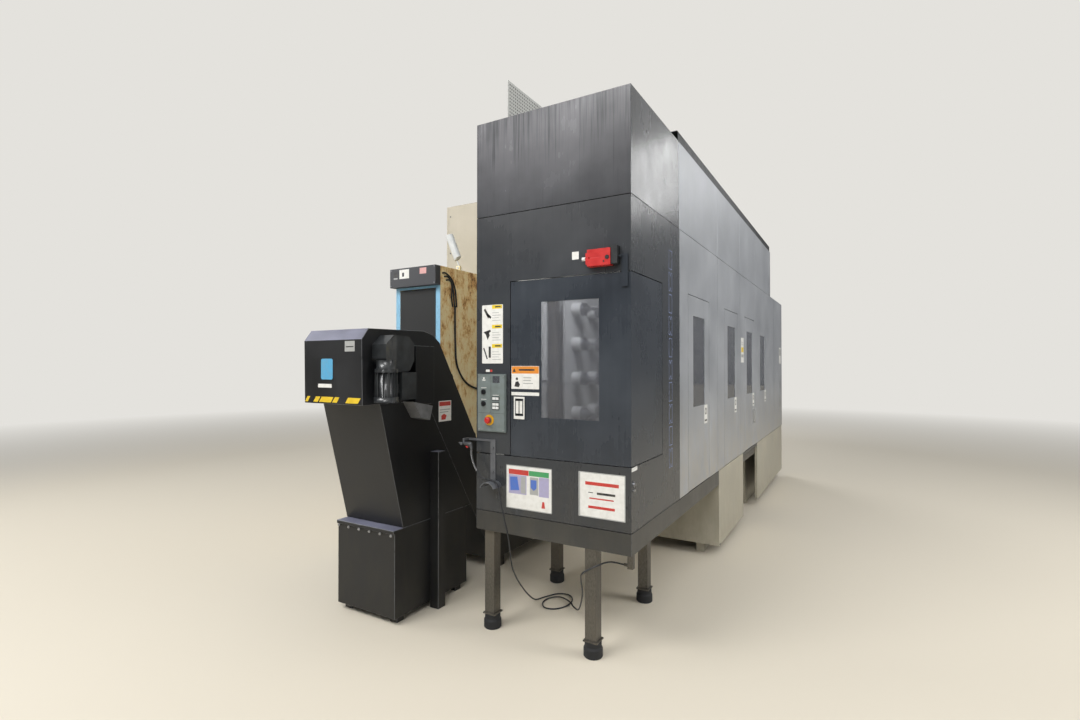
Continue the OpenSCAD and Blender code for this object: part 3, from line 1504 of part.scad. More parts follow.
module work_lamp() {
    // arm with its long head, tilting on a pin through the lug
    color([0.75, 0.76, 0.75]) at_corner()
        translate([-cab_in - 40, cab_y + 300, cab_h + 26]) {
            translate([0, 12, 0]) rotate([90, 0, 0]) cylinder(h = 36, r = 6);
            translate([0, 12 + slip, 0]) rotate([90, 0, 0]) cylinder(h = 12, r = 14);
            translate([0, -20 - slip, 0]) rotate([90, 0, 0]) cylinder(h = 6, r = 11);
            translate([0, 6 + slip, 0]) rotate([0, -lamp_lean, 0]) {
                translate([0, 0, 8]) cylinder(h = 84, r = 6);
                hull() {
                    translate([0, 0, 84]) cylinder(h = 250, r = 22, $fn = 32);
                    translate([24, 0, 94]) cylinder(h = 230, r = 26, $fn = 32);
                }
            }
        }
}

tower_frame();
foot_pads();
end_upper_panel();
end_mid_panel();
end_lower_panel();
end_sill_panel();
flank_upper_panels();
flank_mid_panels();
flank_sill_panel();
flank_fixed_window();
base_skirts();
tower_back_panels();
roof_cable_duct();
interlock_switch();
button_panel();
hook_bracket();
air_gun();
air_gun_trigger();
air_hose();
loading_door();
loading_window();
loading_latch();
push_button_1();
push_button_2();
push_button_3();
push_button_4();
push_button_5();
push_button_6();
selector_knob_1();
selector_knob_2();
estop_button();
flank_door_1();
flank_door_2();
flank_door_3();
flank_window_1();
flank_window_2();
flank_window_3();
tool_rack();
tool_holders();
shuttle_column();
shuttle_lift();
tool_gripper();
machine_bed();
machine_column();
spindle_head();
spindle();
table_saddle();
rotary_table();
cell_panels();
cell_door();
cell_window();
control_pendant();
conveyor_casing();
conveyor_belt();
conveyor_drive();
gearmotor();
cabinet();
cabinet_door();
coolant_tank();
work_lamp();
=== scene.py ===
# %% [markdown]
# # A machining centre with its tool magazine tower
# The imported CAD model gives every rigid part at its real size. This lesson
# dresses it: it sets the camera, lays the air hose, gives each part the finish
# of the real one and adds the small things that a drawing leaves out, such as
# labels, screws, gaskets and stains. All lengths are real.

# %% Load the frame
import math

import bmesh
import bpy
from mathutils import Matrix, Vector


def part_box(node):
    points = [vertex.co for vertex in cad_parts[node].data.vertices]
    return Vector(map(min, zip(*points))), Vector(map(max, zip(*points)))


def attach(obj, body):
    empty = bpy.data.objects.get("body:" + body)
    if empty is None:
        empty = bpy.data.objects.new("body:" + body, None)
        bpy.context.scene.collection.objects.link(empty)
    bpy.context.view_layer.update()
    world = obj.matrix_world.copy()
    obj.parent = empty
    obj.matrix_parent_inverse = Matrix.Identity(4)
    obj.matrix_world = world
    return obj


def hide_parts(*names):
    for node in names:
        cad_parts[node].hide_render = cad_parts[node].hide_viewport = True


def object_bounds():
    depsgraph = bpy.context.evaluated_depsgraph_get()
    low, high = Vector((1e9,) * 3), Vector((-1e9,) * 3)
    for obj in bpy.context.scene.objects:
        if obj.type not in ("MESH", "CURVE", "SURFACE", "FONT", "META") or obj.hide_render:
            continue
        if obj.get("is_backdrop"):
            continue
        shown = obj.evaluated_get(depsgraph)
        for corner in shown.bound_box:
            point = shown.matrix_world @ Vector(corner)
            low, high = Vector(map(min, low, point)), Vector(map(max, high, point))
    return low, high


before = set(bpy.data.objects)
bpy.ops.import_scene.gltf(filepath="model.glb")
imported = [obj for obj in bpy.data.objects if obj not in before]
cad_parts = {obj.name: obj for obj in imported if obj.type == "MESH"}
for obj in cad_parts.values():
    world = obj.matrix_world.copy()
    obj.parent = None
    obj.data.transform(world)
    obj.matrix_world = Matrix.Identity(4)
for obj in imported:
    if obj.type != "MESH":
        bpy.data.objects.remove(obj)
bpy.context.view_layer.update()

scene = bpy.context.scene

# %% [markdown]
# The machine was measured from the corner of its tower, in millimetres: x runs
# out of the long flank, y along it and z up. One small function turns such a
# place into Blender's metres, so every number below can be read off a drawing.

# %% Places on the machine
CORNER = Vector((1.439, -2.822, 0.0))


def place(x, y, z):
    """A point given in millimetres from the corner of the tower."""
    return CORNER + Vector((x, y, z)) / 1000


def corners(node):
    """A part's lowest and highest corners, in the same millimetres."""
    return [(end - CORNER) * 1000 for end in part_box(node)]


print("the tower's corner stands at", [round(v, 3) for v in CORNER])

# %% [markdown]
# ## The camera
# A wide lens stands close to the dark end, at the height of a person's eyes,
# and looks to the left and almost level. Its place was worked out from lines
# that are square on the real machine, so the render lies over the photograph.

# %% Camera
LENS_MM = 18.27
SENSOR_MM = 36.0
EYE_MM = (1017, -2642, 1560)
LOOK_LEFT = math.radians(30.5)
LOOK_UP = math.radians(0.575)
camera_data = bpy.data.cameras.new("camera")
camera_data.lens = LENS_MM
camera_data.sensor_width = SENSOR_MM
camera = bpy.data.objects.new("camera", camera_data)
camera.location = place(*EYE_MM)
camera.rotation_euler = (math.pi / 2 + LOOK_UP, 0.0, LOOK_LEFT)
scene.collection.objects.link(camera)
scene.camera = camera
print("camera", [round(v, 3) for v in camera.location])

# %% [markdown]
# ## One function for colours, one for nodes
# Colours are written as they are seen on a screen, and Blender calculates with
# linear light, so each hex value is converted once. A second function adds a
# node, sets its values and makes its links, which keeps each material short.


# %% Colour and node helpers
def linear(code):
    """The linear colour of an sRGB hex value."""
    seen = [int(code[i:i + 2], 16) / 255 for i in (1, 3, 5)]
    return tuple(c / 12.92 if c <= 0.04045 else ((c + 0.055) / 1.055) ** 2.4 for c in seen) + (1.0,)


NOISE = "ShaderNodeTexNoise"
STRETCH = "ShaderNodeMapping"
SPAN = "ShaderNodeMapRange"
RAMP = "ShaderNodeValToRGB"
MATH = "ShaderNodeMath"
MIX = "ShaderNodeMix"
BUMP = "ShaderNodeBump"
SPLIT = "ShaderNodeSeparateXYZ"


def add(tree, kind, inputs=(), out=None, stops=(), **settings):
    """A new node with its settings, values, links and colour stops; out picks
    one of its outputs. The inputs are a list from the first on, or a dict."""
    node = tree.nodes.new(kind)
    for key, value in settings.items():
        setattr(node, key, value)
    for key, value in inputs.items() if isinstance(inputs, dict) else enumerate(inputs):
        if isinstance(value, bpy.types.NodeSocket):
            tree.links.new(value, node.inputs[key])
        else:
            node.inputs[key].default_value = value
    if stops:
        marks = node.color_ramp.elements
        while len(marks) < len(stops):
            marks.new(0.5)
        for mark, (spot, code) in zip(marks, stops):
            mark.position = spot
            mark.color = linear(code)
    return node if out is None else node.outputs[out]


def start_material(name):
    """A material with its principled shader and object coordinates."""
    material = bpy.data.materials.new(name)
    material.use_nodes = True
    tree = material.node_tree
    shader = tree.nodes["Principled BSDF"]
    where = tree.nodes.new("ShaderNodeTexCoord").outputs["Object"]
    return material, tree, shader, where


print("helpers for colours, nodes and materials are ready")

# %% [markdown]
# ## Painted sheet
# The enclosure is folded steel sheet with baked enamel. Three things lie on
# such paint: dirt that splashes up from the floor, oil mist that dries as a
# haze and is washed off in thin drips, and dust on all that faces the roof.
# Some of it is painted light: away from the end the haze is held back as
# painted shade, and the pale top of the conveyor is partly a painted
# reflection of the ceiling. Painting them by hand would need an image, so
# each is a noise that a height or a direction lets through. A noise's Scale
# is 1000 over its size in mm.

# %% What lies on the paint
def splashed(tree, where, height, colour, dirt, below):
    """Dirt in upright spots that thins out from the floor up to a height."""
    upright = add(tree, STRETCH, {"Vector": where, "Scale": (1, 1, 0.4)}, 0)
    spots = add(tree, NOISE, {"Vector": upright, "Scale": 1000 / 90, "Detail": 5.0,
                              "Roughness": 0.7}, "Fac")
    low = add(tree, SPAN, [height, 0.0, below, 1.0, 0.0], 0)
    amount = add(tree, SPAN, [spots, 0.35, 0.8, 0.0, 1.6], 0)
    amount = add(tree, MATH, [low, amount], 0, operation="MULTIPLY", use_clamp=True)
    return add(tree, MIX, {0: amount, 6: colour, 7: linear(dirt)}, 2, data_type="RGBA")


def hazed(tree, where, height, film, colour, haze, start, full):
    """Dried oil mist that grows between two heights, with drips at its top. Away from the end it is
    cut to a quarter, which is painted shade.
    """
    upright = add(tree, STRETCH, {"Vector": where, "Scale": (1, 1, 0.02)}, 0)
    drips = add(tree, NOISE, {"Vector": upright, "Scale": 1000 / 13, "Detail": 3.0,
                              "Roughness": 0.7}, "Fac")
    rise = add(tree, SPAN, [height, start, full], 0)
    edge = add(tree, SPAN, [height, full - 0.35, full + 0.1, 0.0, 0.22], 0)
    wash = add(tree, MATH, [drips, edge], 0)
    veil = add(tree, SPAN, [wash, 0.58, 0.76, 1.0, 0.25], 0)
    cloudy = add(tree, SPAN, [film, 0.3, 0.7, 0.55, 1.0], 0)
    amount = add(tree, MATH, [rise, veil], 0, operation="MULTIPLY")
    amount = add(tree, MATH, [amount, cloudy], 0, operation="MULTIPLY", use_clamp=True)
    # away from the end the haze is cut to a quarter: painted shade that keeps the flank darker than
    # the end
    facing = add(tree, "ShaderNodeNewGeometry", out="Normal")
    flank_shade = add(tree, SPAN, [add(tree, SPLIT, [facing], "Y"), -0.7, -0.3, 1.0, 0.25], 0)
    amount = add(tree, MATH, [amount, flank_shade], 0, operation="MULTIPLY")
    return add(tree, MIX, {0: amount, 6: colour, 7: linear(haze)}, 2, data_type="RGBA")


def dust_and_ceiling_sheen(tree, film, colour, dust_and_sheen):
    """A pale tone on the faces that look up: dust, and on the conveyor also a painted reflection of
    the ceiling.
    """
    facing = add(tree, "ShaderNodeNewGeometry", out="Normal")
    # the faces that look up get the pale tone: dust, and painted reflection where it is bluish
    flat = add(tree, SPAN, [add(tree, SPLIT, [facing], "Z"), 0.35, 0.6], 0)
    loose = add(tree, SPAN, [film, 0.3, 0.6, 0.5, 1.0], 0)
    amount = add(tree, MATH, [flat, loose], 0, operation="MULTIPLY")
    return add(tree, MIX, {0: amount, 6: colour, 7: linear(dust_and_sheen)}, 2, data_type="RGBA")


print("dirt, haze and dust are ready")

# %% [markdown]
# The paint itself is smooth but never flat: it has a fine orange-peel skin,
# cleaning marks that run down the panel, and a film of oil that changes the
# gloss more than the colour. The colour therefore comes from two noises, a
# broad one for the film and one that is stretched upright for the runs, and
# the same runs drive the roughness.

# %% Enamel on sheet steel
def enamel(name, dark, mid, light, gloss, run_mm=16.0, run_share=0.15, metallic=0.0, skin=0.05,
           dirt=None, haze=None, dust_and_sheen=None):
    """Baked enamel; gloss is the roughness from clean to smeared. Dirt is a
    colour and a height, and haze is a colour and two heights, in metres."""
    material, tree, shader, where = start_material(name)
    height = add(tree, SPLIT, [where], "Z")
    film = add(tree, NOISE, {"Vector": where, "Scale": 1000 / 420, "Detail": 4.0,
                             "Roughness": 0.55}, "Fac")
    upright = add(tree, STRETCH, {"Vector": where, "Scale": (1, 1, 0.035)}, 0)
    runs = add(tree, NOISE, {"Vector": upright, "Scale": 1000 / run_mm, "Detail": 2.0,
                             "Roughness": 0.55}, "Fac")
    shade = add(tree, MATH, [runs, run_share, film], 0, operation="MULTIPLY_ADD")
    spread = add(tree, SPAN, [shade, 0.3 + run_share * 0.4, 0.7 + run_share * 0.6], 0)
    colour = add(tree, RAMP, [spread], 0, [(0.0, dark), (0.5, mid), (1.0, light)])
    if dirt:
        colour = splashed(tree, where, height, colour, *dirt)
    if haze:
        colour = hazed(tree, where, height, film, colour, *haze)
    if dust_and_sheen:
        colour = dust_and_ceiling_sheen(tree, film, colour, dust_and_sheen)
    tree.links.new(colour, shader.inputs["Base Color"])
    smear = add(tree, SPAN, [shade, 0.35, 0.85, gloss[0], gloss[1]], 0)
    tree.links.new(smear, shader.inputs["Roughness"])
    shader.inputs["Metallic"].default_value = metallic
    peel = add(tree, NOISE, {"Vector": where, "Scale": 1000 / 5, "Detail": 1.0,
                             "Roughness": 0.55}, "Fac")
    bump = add(tree, BUMP, {"Height": peel, "Strength": skin, "Distance": 0.001}, "Normal")
    tree.links.new(bump, shader.inputs["Normal"])
    return material


# Black enamel mirrors the lamps as soft bands, and the haze greys it near the top.
black_enamel = enamel("black_baked_enamel", "#2b2e32", "#33363a", "#3b3e42", (0.22, 0.36),
                      dirt=("#3f3d38", 1.2), haze=("#5d5c5d", 2.0, 3.1))
door_enamel = enamel("blue_black_door_enamel", "#262a30", "#30353c", "#3b4047", (0.2, 0.34))
hazed_enamel = enamel("hazed_black_enamel", "#2b2d30", "#35373a", "#404246", (0.17, 0.32),
                      haze=("#77767a", 2.3, 3.0), dust_and_sheen="#8b8a86")
dark_grey_enamel = enamel("dark_grey_sill_enamel", "#2c2c2b", "#373735", "#45443f", (0.30, 0.5),
                          dirt=("#4a463c", 0.9))
# Silver enamel holds fine aluminium flakes, which brighten it towards the light.
silver_enamel = enamel("silver_metallic_enamel", "#93969b", "#a0a3a8", "#adb0b5", (0.30, 0.44),
                       run_mm=9.0, run_share=0.35, metallic=0.25, dirt=("#b5aa90", 1.4))
skirt_enamel = enamel("light_grey_skirt_enamel", "#a09b8c", "#aea999", "#bbb5a4", (0.34, 0.5),
                      run_mm=12.0, metallic=0.15, dirt=("#a09a88", 0.8))
# The plain enamels of the cell and the inner parts are duller, as nobody wipes them.
beige_enamel = enamel("beige_cell_enamel", "#b1a996", "#b7af9d", "#beb6a5", (0.4, 0.55),
                      dirt=("#94866c", 0.9))
pale_grey_enamel = enamel("pale_grey_enamel", "#aaaaa5", "#b1b1ac", "#b8b8b3", (0.4, 0.55))
machine_white = enamel("off_white_machine_enamel", "#b3b4b1", "#c2c3c0", "#cfd0cd", (0.32, 0.45))
door_grey_enamel = enamel("mid_grey_door_enamel", "#5b5f63", "#696d71", "#787c80", (0.35, 0.5))
pendant_enamel = enamel("charcoal_pendant_enamel", "#26282b", "#303235", "#3b3d40", (0.4, 0.55))
lift_enamel = enamel("blue_grey_lift_enamel", "#3a4048", "#474e57", "#555d66", (0.35, 0.5))
orange_enamel = enamel("orange_gripper_enamel", "#c06a14", "#cf7a1d", "#da8a30", (0.35, 0.5))
# The conveyor's thick enamel is scuffed by chips. Its head is paler on the faces that look up:
# partly dust, partly a painted reflection of the ceiling.
conveyor_enamel = enamel("scuffed_black_conveyor_enamel", "#090a0c", "#101114", "#1b1d20",
                         (0.34, 0.55), run_mm=30.0, skin=0.2, dirt=("#1d1c18", 1.2),
                         dust_and_sheen="#77788a")
cabinet_black = enamel("matt_black_door_enamel", "#0b0c0d", "#111213", "#1a1b1d", (0.5, 0.65))
print("materials so far:", len(bpy.data.materials))

# %% [markdown]
# ## Other finishes
# Rubber, nylon, cast and coated parts have one thing in common: their surface
# is the same all over, with an even fine grain from the mould or the spray. A
# single colour would look flat and new, so one noise shifts the tone and the
# gloss a little, and a finer one gives the grain, each at its real size.


# %% Plain moulded and coated finishes
def moulded(name, low, high, rough, grain_mm=1.6, depth=0.12, metallic=0.0, coat=0.0):
    """A moulded, cast or coated surface with an even grain."""
    material, tree, shader, where = start_material(name)
    tone = add(tree, NOISE, {"Vector": where, "Scale": 1000 / 45, "Detail": 5.0,
                             "Roughness": 0.55}, "Fac")
    colour = add(tree, RAMP, [tone], 0, [(0.3, low), (0.7, high)])
    tree.links.new(colour, shader.inputs["Base Color"])
    worn = add(tree, SPAN, [tone, 0.3, 0.7, rough - 0.06, rough + 0.08], 0)
    tree.links.new(worn, shader.inputs["Roughness"])
    shader.inputs["Metallic"].default_value = metallic
    shader.inputs["Coat Weight"].default_value = coat
    grain = add(tree, NOISE, {"Vector": where, "Scale": 1000 / grain_mm, "Detail": 2.0,
                              "Roughness": 0.55}, "Fac")
    bump = add(tree, BUMP, {"Height": grain, "Strength": depth, "Distance": 0.0006}, "Normal")
    tree.links.new(bump, shader.inputs["Normal"])
    return material


# Rubber scatters nearly all light, so it stays dark and without a clear highlight.
black_rubber = moulded("black_moulded_rubber", "#17181a", "#222326", 0.72, grain_mm=2.4, depth=0.3)
hose_rubber = moulded("black_hose_rubber", "#202124", "#2c2e31", 0.42, grain_mm=1.2)
# Moulded nylon and button caps have a satin skin, and a thin coat where fingers polish them.
duct_plastic = moulded("black_duct_plastic", "#191a1c", "#232427", 0.5)
black_plastic = moulded("black_nylon", "#17181a", "#26282a", 0.45)
red_plastic = moulded("red_moulded_nylon", "#b3201f", "#c62a27", 0.38, coat=0.1)
stop_red = moulded("red_button_plastic", "#b51e1c", "#c92b26", 0.3, coat=0.2)
collar_yellow = moulded("yellow_collar_plastic", "#d39a1c", "#e0ab2c", 0.4)
cap_white = moulded("white_button_plastic", "#d6d8d6", "#e4e5e3", 0.35)
panel_film = moulded("grey_green_panel_film", "#69726f", "#768080", 0.5)
# Plated and cast metal under a worn coat glints only in part, so it is half metallic.
dark_zinc = moulded("dark_zinc_plated_strip", "#5a5c60", "#6d6f73", 0.4, metallic=0.35)
die_cast = moulded("worn_die_cast_aluminium", "#57595c", "#6c6e71", 0.45, metallic=0.7)
# Sand castings keep the coarse grain of the mould under their paint.
motor_casting = moulded("black_painted_casting", "#1d1f21", "#2e3133", 0.36, grain_mm=3.0, depth=0.3,
                        coat=0.5)
bed_casting = moulded("grey_painted_cast_iron", "#575b5e", "#666a6d", 0.5, grain_mm=3.0, depth=0.3)
light_casting = moulded("blue_grey_painted_casting", "#6d7276", "#7c8185", 0.45, grain_mm=3.0)
# Sprayed metal and sheet are smoother and brighter than castings.
lamp_white = moulded("white_coated_aluminium", "#bfc1c0", "#d2d4d3", 0.4)
gasket_black = moulded("black_rubber_gasket", "#141517", "#1d1e20", 0.7)
sign_yellow = moulded("yellow_safety_paint", "#d8b41c", "#e4c22c", 0.45)
galvanised = moulded("galvanised_hood_sheet", "#77787a", "#909193", 0.4, metallic=0.5)
screen_glass = moulded("black_screen_glass", "#0c0d10", "#14161a", 0.1, depth=0.0, coat=1.0)
# lighter grey for the bevels of the dark parts: a painted highlight along their edges
edge_highlight_paint = moulded("painted_edge_highlight", "#5a5c5f", "#6e7073", 0.3, metallic=0.4)
print("materials so far:", len(bpy.data.materials))

# %% [markdown]
# Bare steel shows how it was made. The tube of the legs is old mill steel with
# oil and rust on it, and the tools are ground, with fine rings that only show
# as a soft spread of the highlight.

# %% Bare metals
def bare_metal(name, low, high, rough, stretch=(1, 1, 1), grain_mm=0.9, stain=None, stain_mm=70.0):
    """Bare steel with its grain, stretched along the way it was worked."""
    material, tree, shader, where = start_material(name)
    worked = add(tree, STRETCH, {"Vector": where, "Scale": stretch}, 0)
    grain = add(tree, NOISE, {"Vector": worked, "Scale": 1000 / grain_mm, "Detail": 2.0,
                              "Roughness": 0.55}, "Fac")
    colour = add(tree, RAMP, [grain], 0, [(0.3, low), (0.7, high)])
    shader.inputs["Metallic"].default_value = 1.0
    if stain:
        upright = add(tree, STRETCH, {"Vector": where, "Scale": (1, 1, 0.35)}, 0)
        spots = add(tree, NOISE, {"Vector": upright, "Scale": 1000 / stain_mm, "Detail": 6.0,
                                  "Roughness": 0.65}, "Fac")
        amount = add(tree, SPAN, [spots, 0.48, 0.66, 0.0, 0.9], 0)
        colour = add(tree, MIX, {0: amount, 6: colour, 7: linear(stain)}, 2, data_type="RGBA")
        dull = add(tree, SPAN, [spots, 0.48, 0.66, 1.0, 0.3], 0)
        tree.links.new(dull, shader.inputs["Metallic"])
    tree.links.new(colour, shader.inputs["Base Color"])
    worn = add(tree, SPAN, [grain, 0.0, 1.0, rough - 0.05, rough + 0.08], 0)
    tree.links.new(worn, shader.inputs["Roughness"])
    bump = add(tree, BUMP, {"Height": grain, "Strength": 0.08, "Distance": 0.0004}, "Normal")
    tree.links.new(bump, shader.inputs["Normal"])
    return material


ground_steel = bare_metal("ground_tool_steel", "#8b8c8e", "#a8a9ab", 0.25)
milled_iron = bare_metal("milled_cast_iron", "#707274", "#8a8c8e", 0.38, stretch=(1, 0.1, 1))
zinc_steel = bare_metal("bright_zinc_steel", "#9b9ca0", "#b7b8bb", 0.28)
oily_steel = bare_metal("oily_conveyor_steel", "#4e4c48", "#6a6762", 0.35, stain="#2b2419")
leg_steel = bare_metal("stained_tube_steel", "#5b5955", "#74716b", 0.42, stretch=(1, 1, 0.3),
                       grain_mm=5.0, stain="#5d574c", stain_mm=150.0)
print("materials so far:", len(bpy.data.materials))

# %% [markdown]
# The panes are tinted polycarbonate, so they pass some light, reflect the room
# and carry a few fine wiping marks.

# %% Tinted polycarbonate
def tinted_pane(name, tint, rough):
    """A pane that lets tinted light through, duller where it was wiped."""
    material, tree, shader, where = start_material(name)
    upright = add(tree, STRETCH, {"Vector": where, "Scale": (1, 1, 0.3)}, 0)
    wipes = add(tree, NOISE, {"Vector": upright, "Scale": 1000 / 60, "Detail": 4.0,
                              "Roughness": 0.55}, "Fac")
    smear = add(tree, SPAN, [wipes, 0.45, 0.8, rough, rough + 0.1], 0)
    tree.links.new(smear, shader.inputs["Roughness"])
    shader.inputs["Base Color"].default_value = linear(tint)
    shader.inputs["Transmission Weight"].default_value = 0.85
    shader.inputs["IOR"].default_value = 1.58
    return material


smoked_pane = tinted_pane("smoked_polycarbonate", "#9ea0a8", 0.04)
print("pane material:", smoked_pane.name)

# %% [markdown]
# The cream cabinet has stood beside the chips for years: coolant has run down
# its side and dried brown. The stains start in a broad noise that is pulled
# downwards, get their rim from a finer one, and are denser near the top. The
# cabinet is one part in three colours, so a mask by place paints its front
# light blue and its header grey.

# %% Stained cream enamel
CABINET_LOW, CABINET_HIGH = corners("cabinet")
CHIP_SIDE = CABINET_HIGH.x - 12
CABINET_FRAME = 851.5
HEADER_LOW = 2229


def inside(tree, where, **limits):
    """1 between the limits of each axis in metres, 0 outside; None is open."""
    parts = add(tree, SPLIT, [where])
    mask = 1.0
    for axis, ends in limits.items():
        for edge, test in zip(ends, ("GREATER_THAN", "LESS_THAN")):
            if edge is not None:
                side = add(tree, MATH, [parts.outputs[axis], edge], 0, operation=test)
                mask = add(tree, MATH, [side, mask], 0, operation="MULTIPLY")
    return mask


def stained_cream(name):
    """Cream enamel with brown runs; the front is light blue under a grey header."""
    material, tree, shader, where = start_material(name)
    pulled = add(tree, STRETCH, {"Vector": where, "Scale": (1, 1, 0.5)}, 0)
    runs = add(tree, NOISE, {"Vector": pulled, "Scale": 1000 / 80, "Detail": 8.0,
                             "Roughness": 0.78}, "Fac")
    pulled = add(tree, STRETCH, {"Vector": where, "Scale": (1, 1, 0.55)}, 0)
    spots = add(tree, NOISE, {"Vector": pulled, "Scale": 1000 / 22, "Detail": 6.0,
                              "Roughness": 0.75}, "Fac")
    fine = add(tree, SPAN, [spots, 0.0, 1.0, -0.15, 0.15], 0)
    height = add(tree, SPLIT, [where], "Z")
    less = add(tree, SPAN, [height, 0.6, 2.3, -0.12, 0.02], 0)
    wet = add(tree, MATH, [runs, fine], 0)
    wet = add(tree, MATH, [wet, less], 0)
    # only the side towards the chips is badly stained
    chips = inside(tree, where, X=(place(CHIP_SIDE, 0, 0).x, None))
    cleaner = add(tree, SPAN, [chips, 0.0, 1.0, -0.13, 0.0], 0)
    wet = add(tree, MATH, [wet, cleaner], 0)
    colour = add(tree, RAMP, [wet], 0, [(0.40, "#f3e3b6"), (0.50, "#ecd096"), (0.58, "#cf9c5c"),
                                        (0.64, "#82572f"), (0.73, "#3f2e1f")])
    # the front frames the door in light blue, with the grey header above it
    face = place(0, CABINET_FRAME, 0).y
    front = inside(tree, where, Y=(None, face))
    header = inside(tree, where, Y=(None, face), Z=(place(0, 0, HEADER_LOW).z, None))
    faded = add(tree, SPAN, [spots, 0.5, 0.7, 0.0, 0.5], 0)
    trim = add(tree, MIX, {0: faded, 6: linear("#86b9d6"), 7: linear("#5f7f90")}, 2,
               data_type="RGBA")
    colour = add(tree, MIX, {0: front, 6: colour, 7: trim}, 2, data_type="RGBA")
    colour = add(tree, MIX, {0: header, 6: colour, 7: linear("#393a3e")}, 2, data_type="RGBA")
    tree.links.new(colour, shader.inputs["Base Color"])
    shine = add(tree, SPAN, [wet, 0.4, 0.7, 0.5, 0.3], 0)
    tree.links.new(shine, shader.inputs["Roughness"])
    bump = add(tree, BUMP, {"Height": spots, "Strength": 0.15, "Distance": 0.001}, "Normal")
    tree.links.new(bump, shader.inputs["Normal"])
    return material


stained_cabinet = stained_cream("stained_cream_enamel")
print("cabinet is", round(CABINET_HIGH.z), "mm high")

# %% [markdown]
# Labels are printed film with a faint yellowing. They stay blank: fields of
# colour and simple shapes stand where a real machine has words.

# %% Printed film
def printed(name, code):
    """Printed film of one colour, a little yellowed and duller in places."""
    material, tree, shader, where = start_material(name)
    age = add(tree, NOISE, {"Vector": where, "Scale": 1000 / 30, "Detail": 3.0,
                            "Roughness": 0.55}, "Fac")
    amount = add(tree, SPAN, [age, 0.4, 0.8, 0.0, 0.22], 0)
    colour = add(tree, MIX, {0: amount, 6: linear(code), 7: linear("#8d8672")}, 2,
                 data_type="RGBA")
    tree.links.new(colour, shader.inputs["Base Color"])
    dull = add(tree, SPAN, [age, 0.0, 1.0, 0.35, 0.5], 0)
    tree.links.new(dull, shader.inputs["Roughness"])
    return material


film_white = printed("white_label_film", "#e6e5e0")
film_orange = printed("orange_label_film", "#e08a2a")
film_yellow = printed("yellow_label_film", "#e5c71d")
# the same black film also lies in the holes and slots as painted shade
black_film_and_hole_shade = printed("black_label_film_and_painted_hole_shade", "#26272a")
film_red = printed("red_label_film", "#c2352f")
film_green = printed("green_label_film", "#3f9a5f")
film_blue = printed("blue_label_film", "#4a6fc0")
film_grey = printed("grey_label_film", "#a7a8a6")
film_sky = printed("sky_label_film", "#55a3cc")
film_lilac = printed("lilac_label_film", "#a9a4c4")
film_pink = printed("pink_label_film", "#d9a3a0")
film_slate = printed("slate_ornament_film", "#7480a3")
print("materials in all:", len(bpy.data.materials))

# %% [markdown]
# ## Finishes for the CAD parts
# Every part keeps its own mesh and only gets its finish. The mesh arrives as
# loose triangles, so a Weld joins them first, and a small Bevel then breaks
# the sheet's edges, which catch a thin line of light on the real machine. On
# the dark parts the bevel gets a lighter paint: a painted highlight along
# those edges.

# %% Give each CAD part its finish
FINISH = {
    hazed_enamel: ["end_upper_panel"],
    black_enamel: ["end_mid_panel", "end_lower_panel"],
    door_enamel: ["loading_door"],
    dark_grey_enamel: ["end_sill_panel", "flank_sill_panel"],
    silver_enamel: ["flank_upper_panels", "flank_mid_panels", "flank_door_1", "flank_door_2",
                    "flank_door_3"],
    skirt_enamel: ["base_skirts"],
    pale_grey_enamel: ["tower_back_panels", "tool_rack", "shuttle_column"],
    beige_enamel: ["cell_panels"],
    machine_white: ["machine_column", "spindle_head"],
    door_grey_enamel: ["cell_door"],
    pendant_enamel: ["control_pendant"],
    lift_enamel: ["shuttle_lift"],
    orange_enamel: ["tool_gripper"],
    conveyor_enamel: ["conveyor_casing", "coolant_tank"],
    cabinet_black: ["cabinet_door"],
    stained_cabinet: ["cabinet"],
    black_rubber: ["foot_pads"],
    duct_plastic: ["roof_cable_duct"],
    black_plastic: ["loading_latch", "selector_knob_1", "selector_knob_2"],
    red_plastic: ["interlock_switch", "air_gun_trigger"],
    stop_red: ["estop_button"],
    cap_white: ["push_button_%d" % (i + 1) for i in range(6)],
    panel_film: ["button_panel"],
    dark_zinc: ["hook_bracket"],
    die_cast: ["air_gun"],
    motor_casting: ["gearmotor"],
    bed_casting: ["machine_bed"],
    light_casting: ["table_saddle"],
    milled_iron: ["rotary_table"],
    ground_steel: ["tool_holders", "spindle", "conveyor_drive"],
    oily_steel: ["conveyor_belt"],
    leg_steel: ["tower_frame"],
    lamp_white: ["work_lamp"],
    smoked_pane: ["loading_window", "flank_fixed_window", "flank_window_1", "flank_window_2",
                  "flank_window_3", "cell_window"],
}
BEVEL_MM = {
    "end_upper_panel": 1.4, "end_mid_panel": 1.3, "end_lower_panel": 1.4, "end_sill_panel": 1.4,
    "loading_door": 1.2, "flank_upper_panels": 1.3, "flank_mid_panels": 1.3,
    "flank_sill_panel": 1.3, "base_skirts": 1.3, "flank_door_1": 1.2, "flank_door_2": 1.2,
    "flank_door_3": 1.2, "tower_frame": 2.5, "button_panel": 0.4, "interlock_switch": 2.0,
    "cabinet": 2.0, "conveyor_casing": 2.0, "coolant_tank": 2.0, "gearmotor": 1.2,
    "cell_panels": 3.0, "cell_door": 2.0, "control_pendant": 3.0, "cabinet_door": 1.2,
    "hook_bracket": 0.8, "machine_column": 8.0, "machine_bed": 5.0, "spindle_head": 5.0,
}
BEVEL_FROM = math.radians(40)
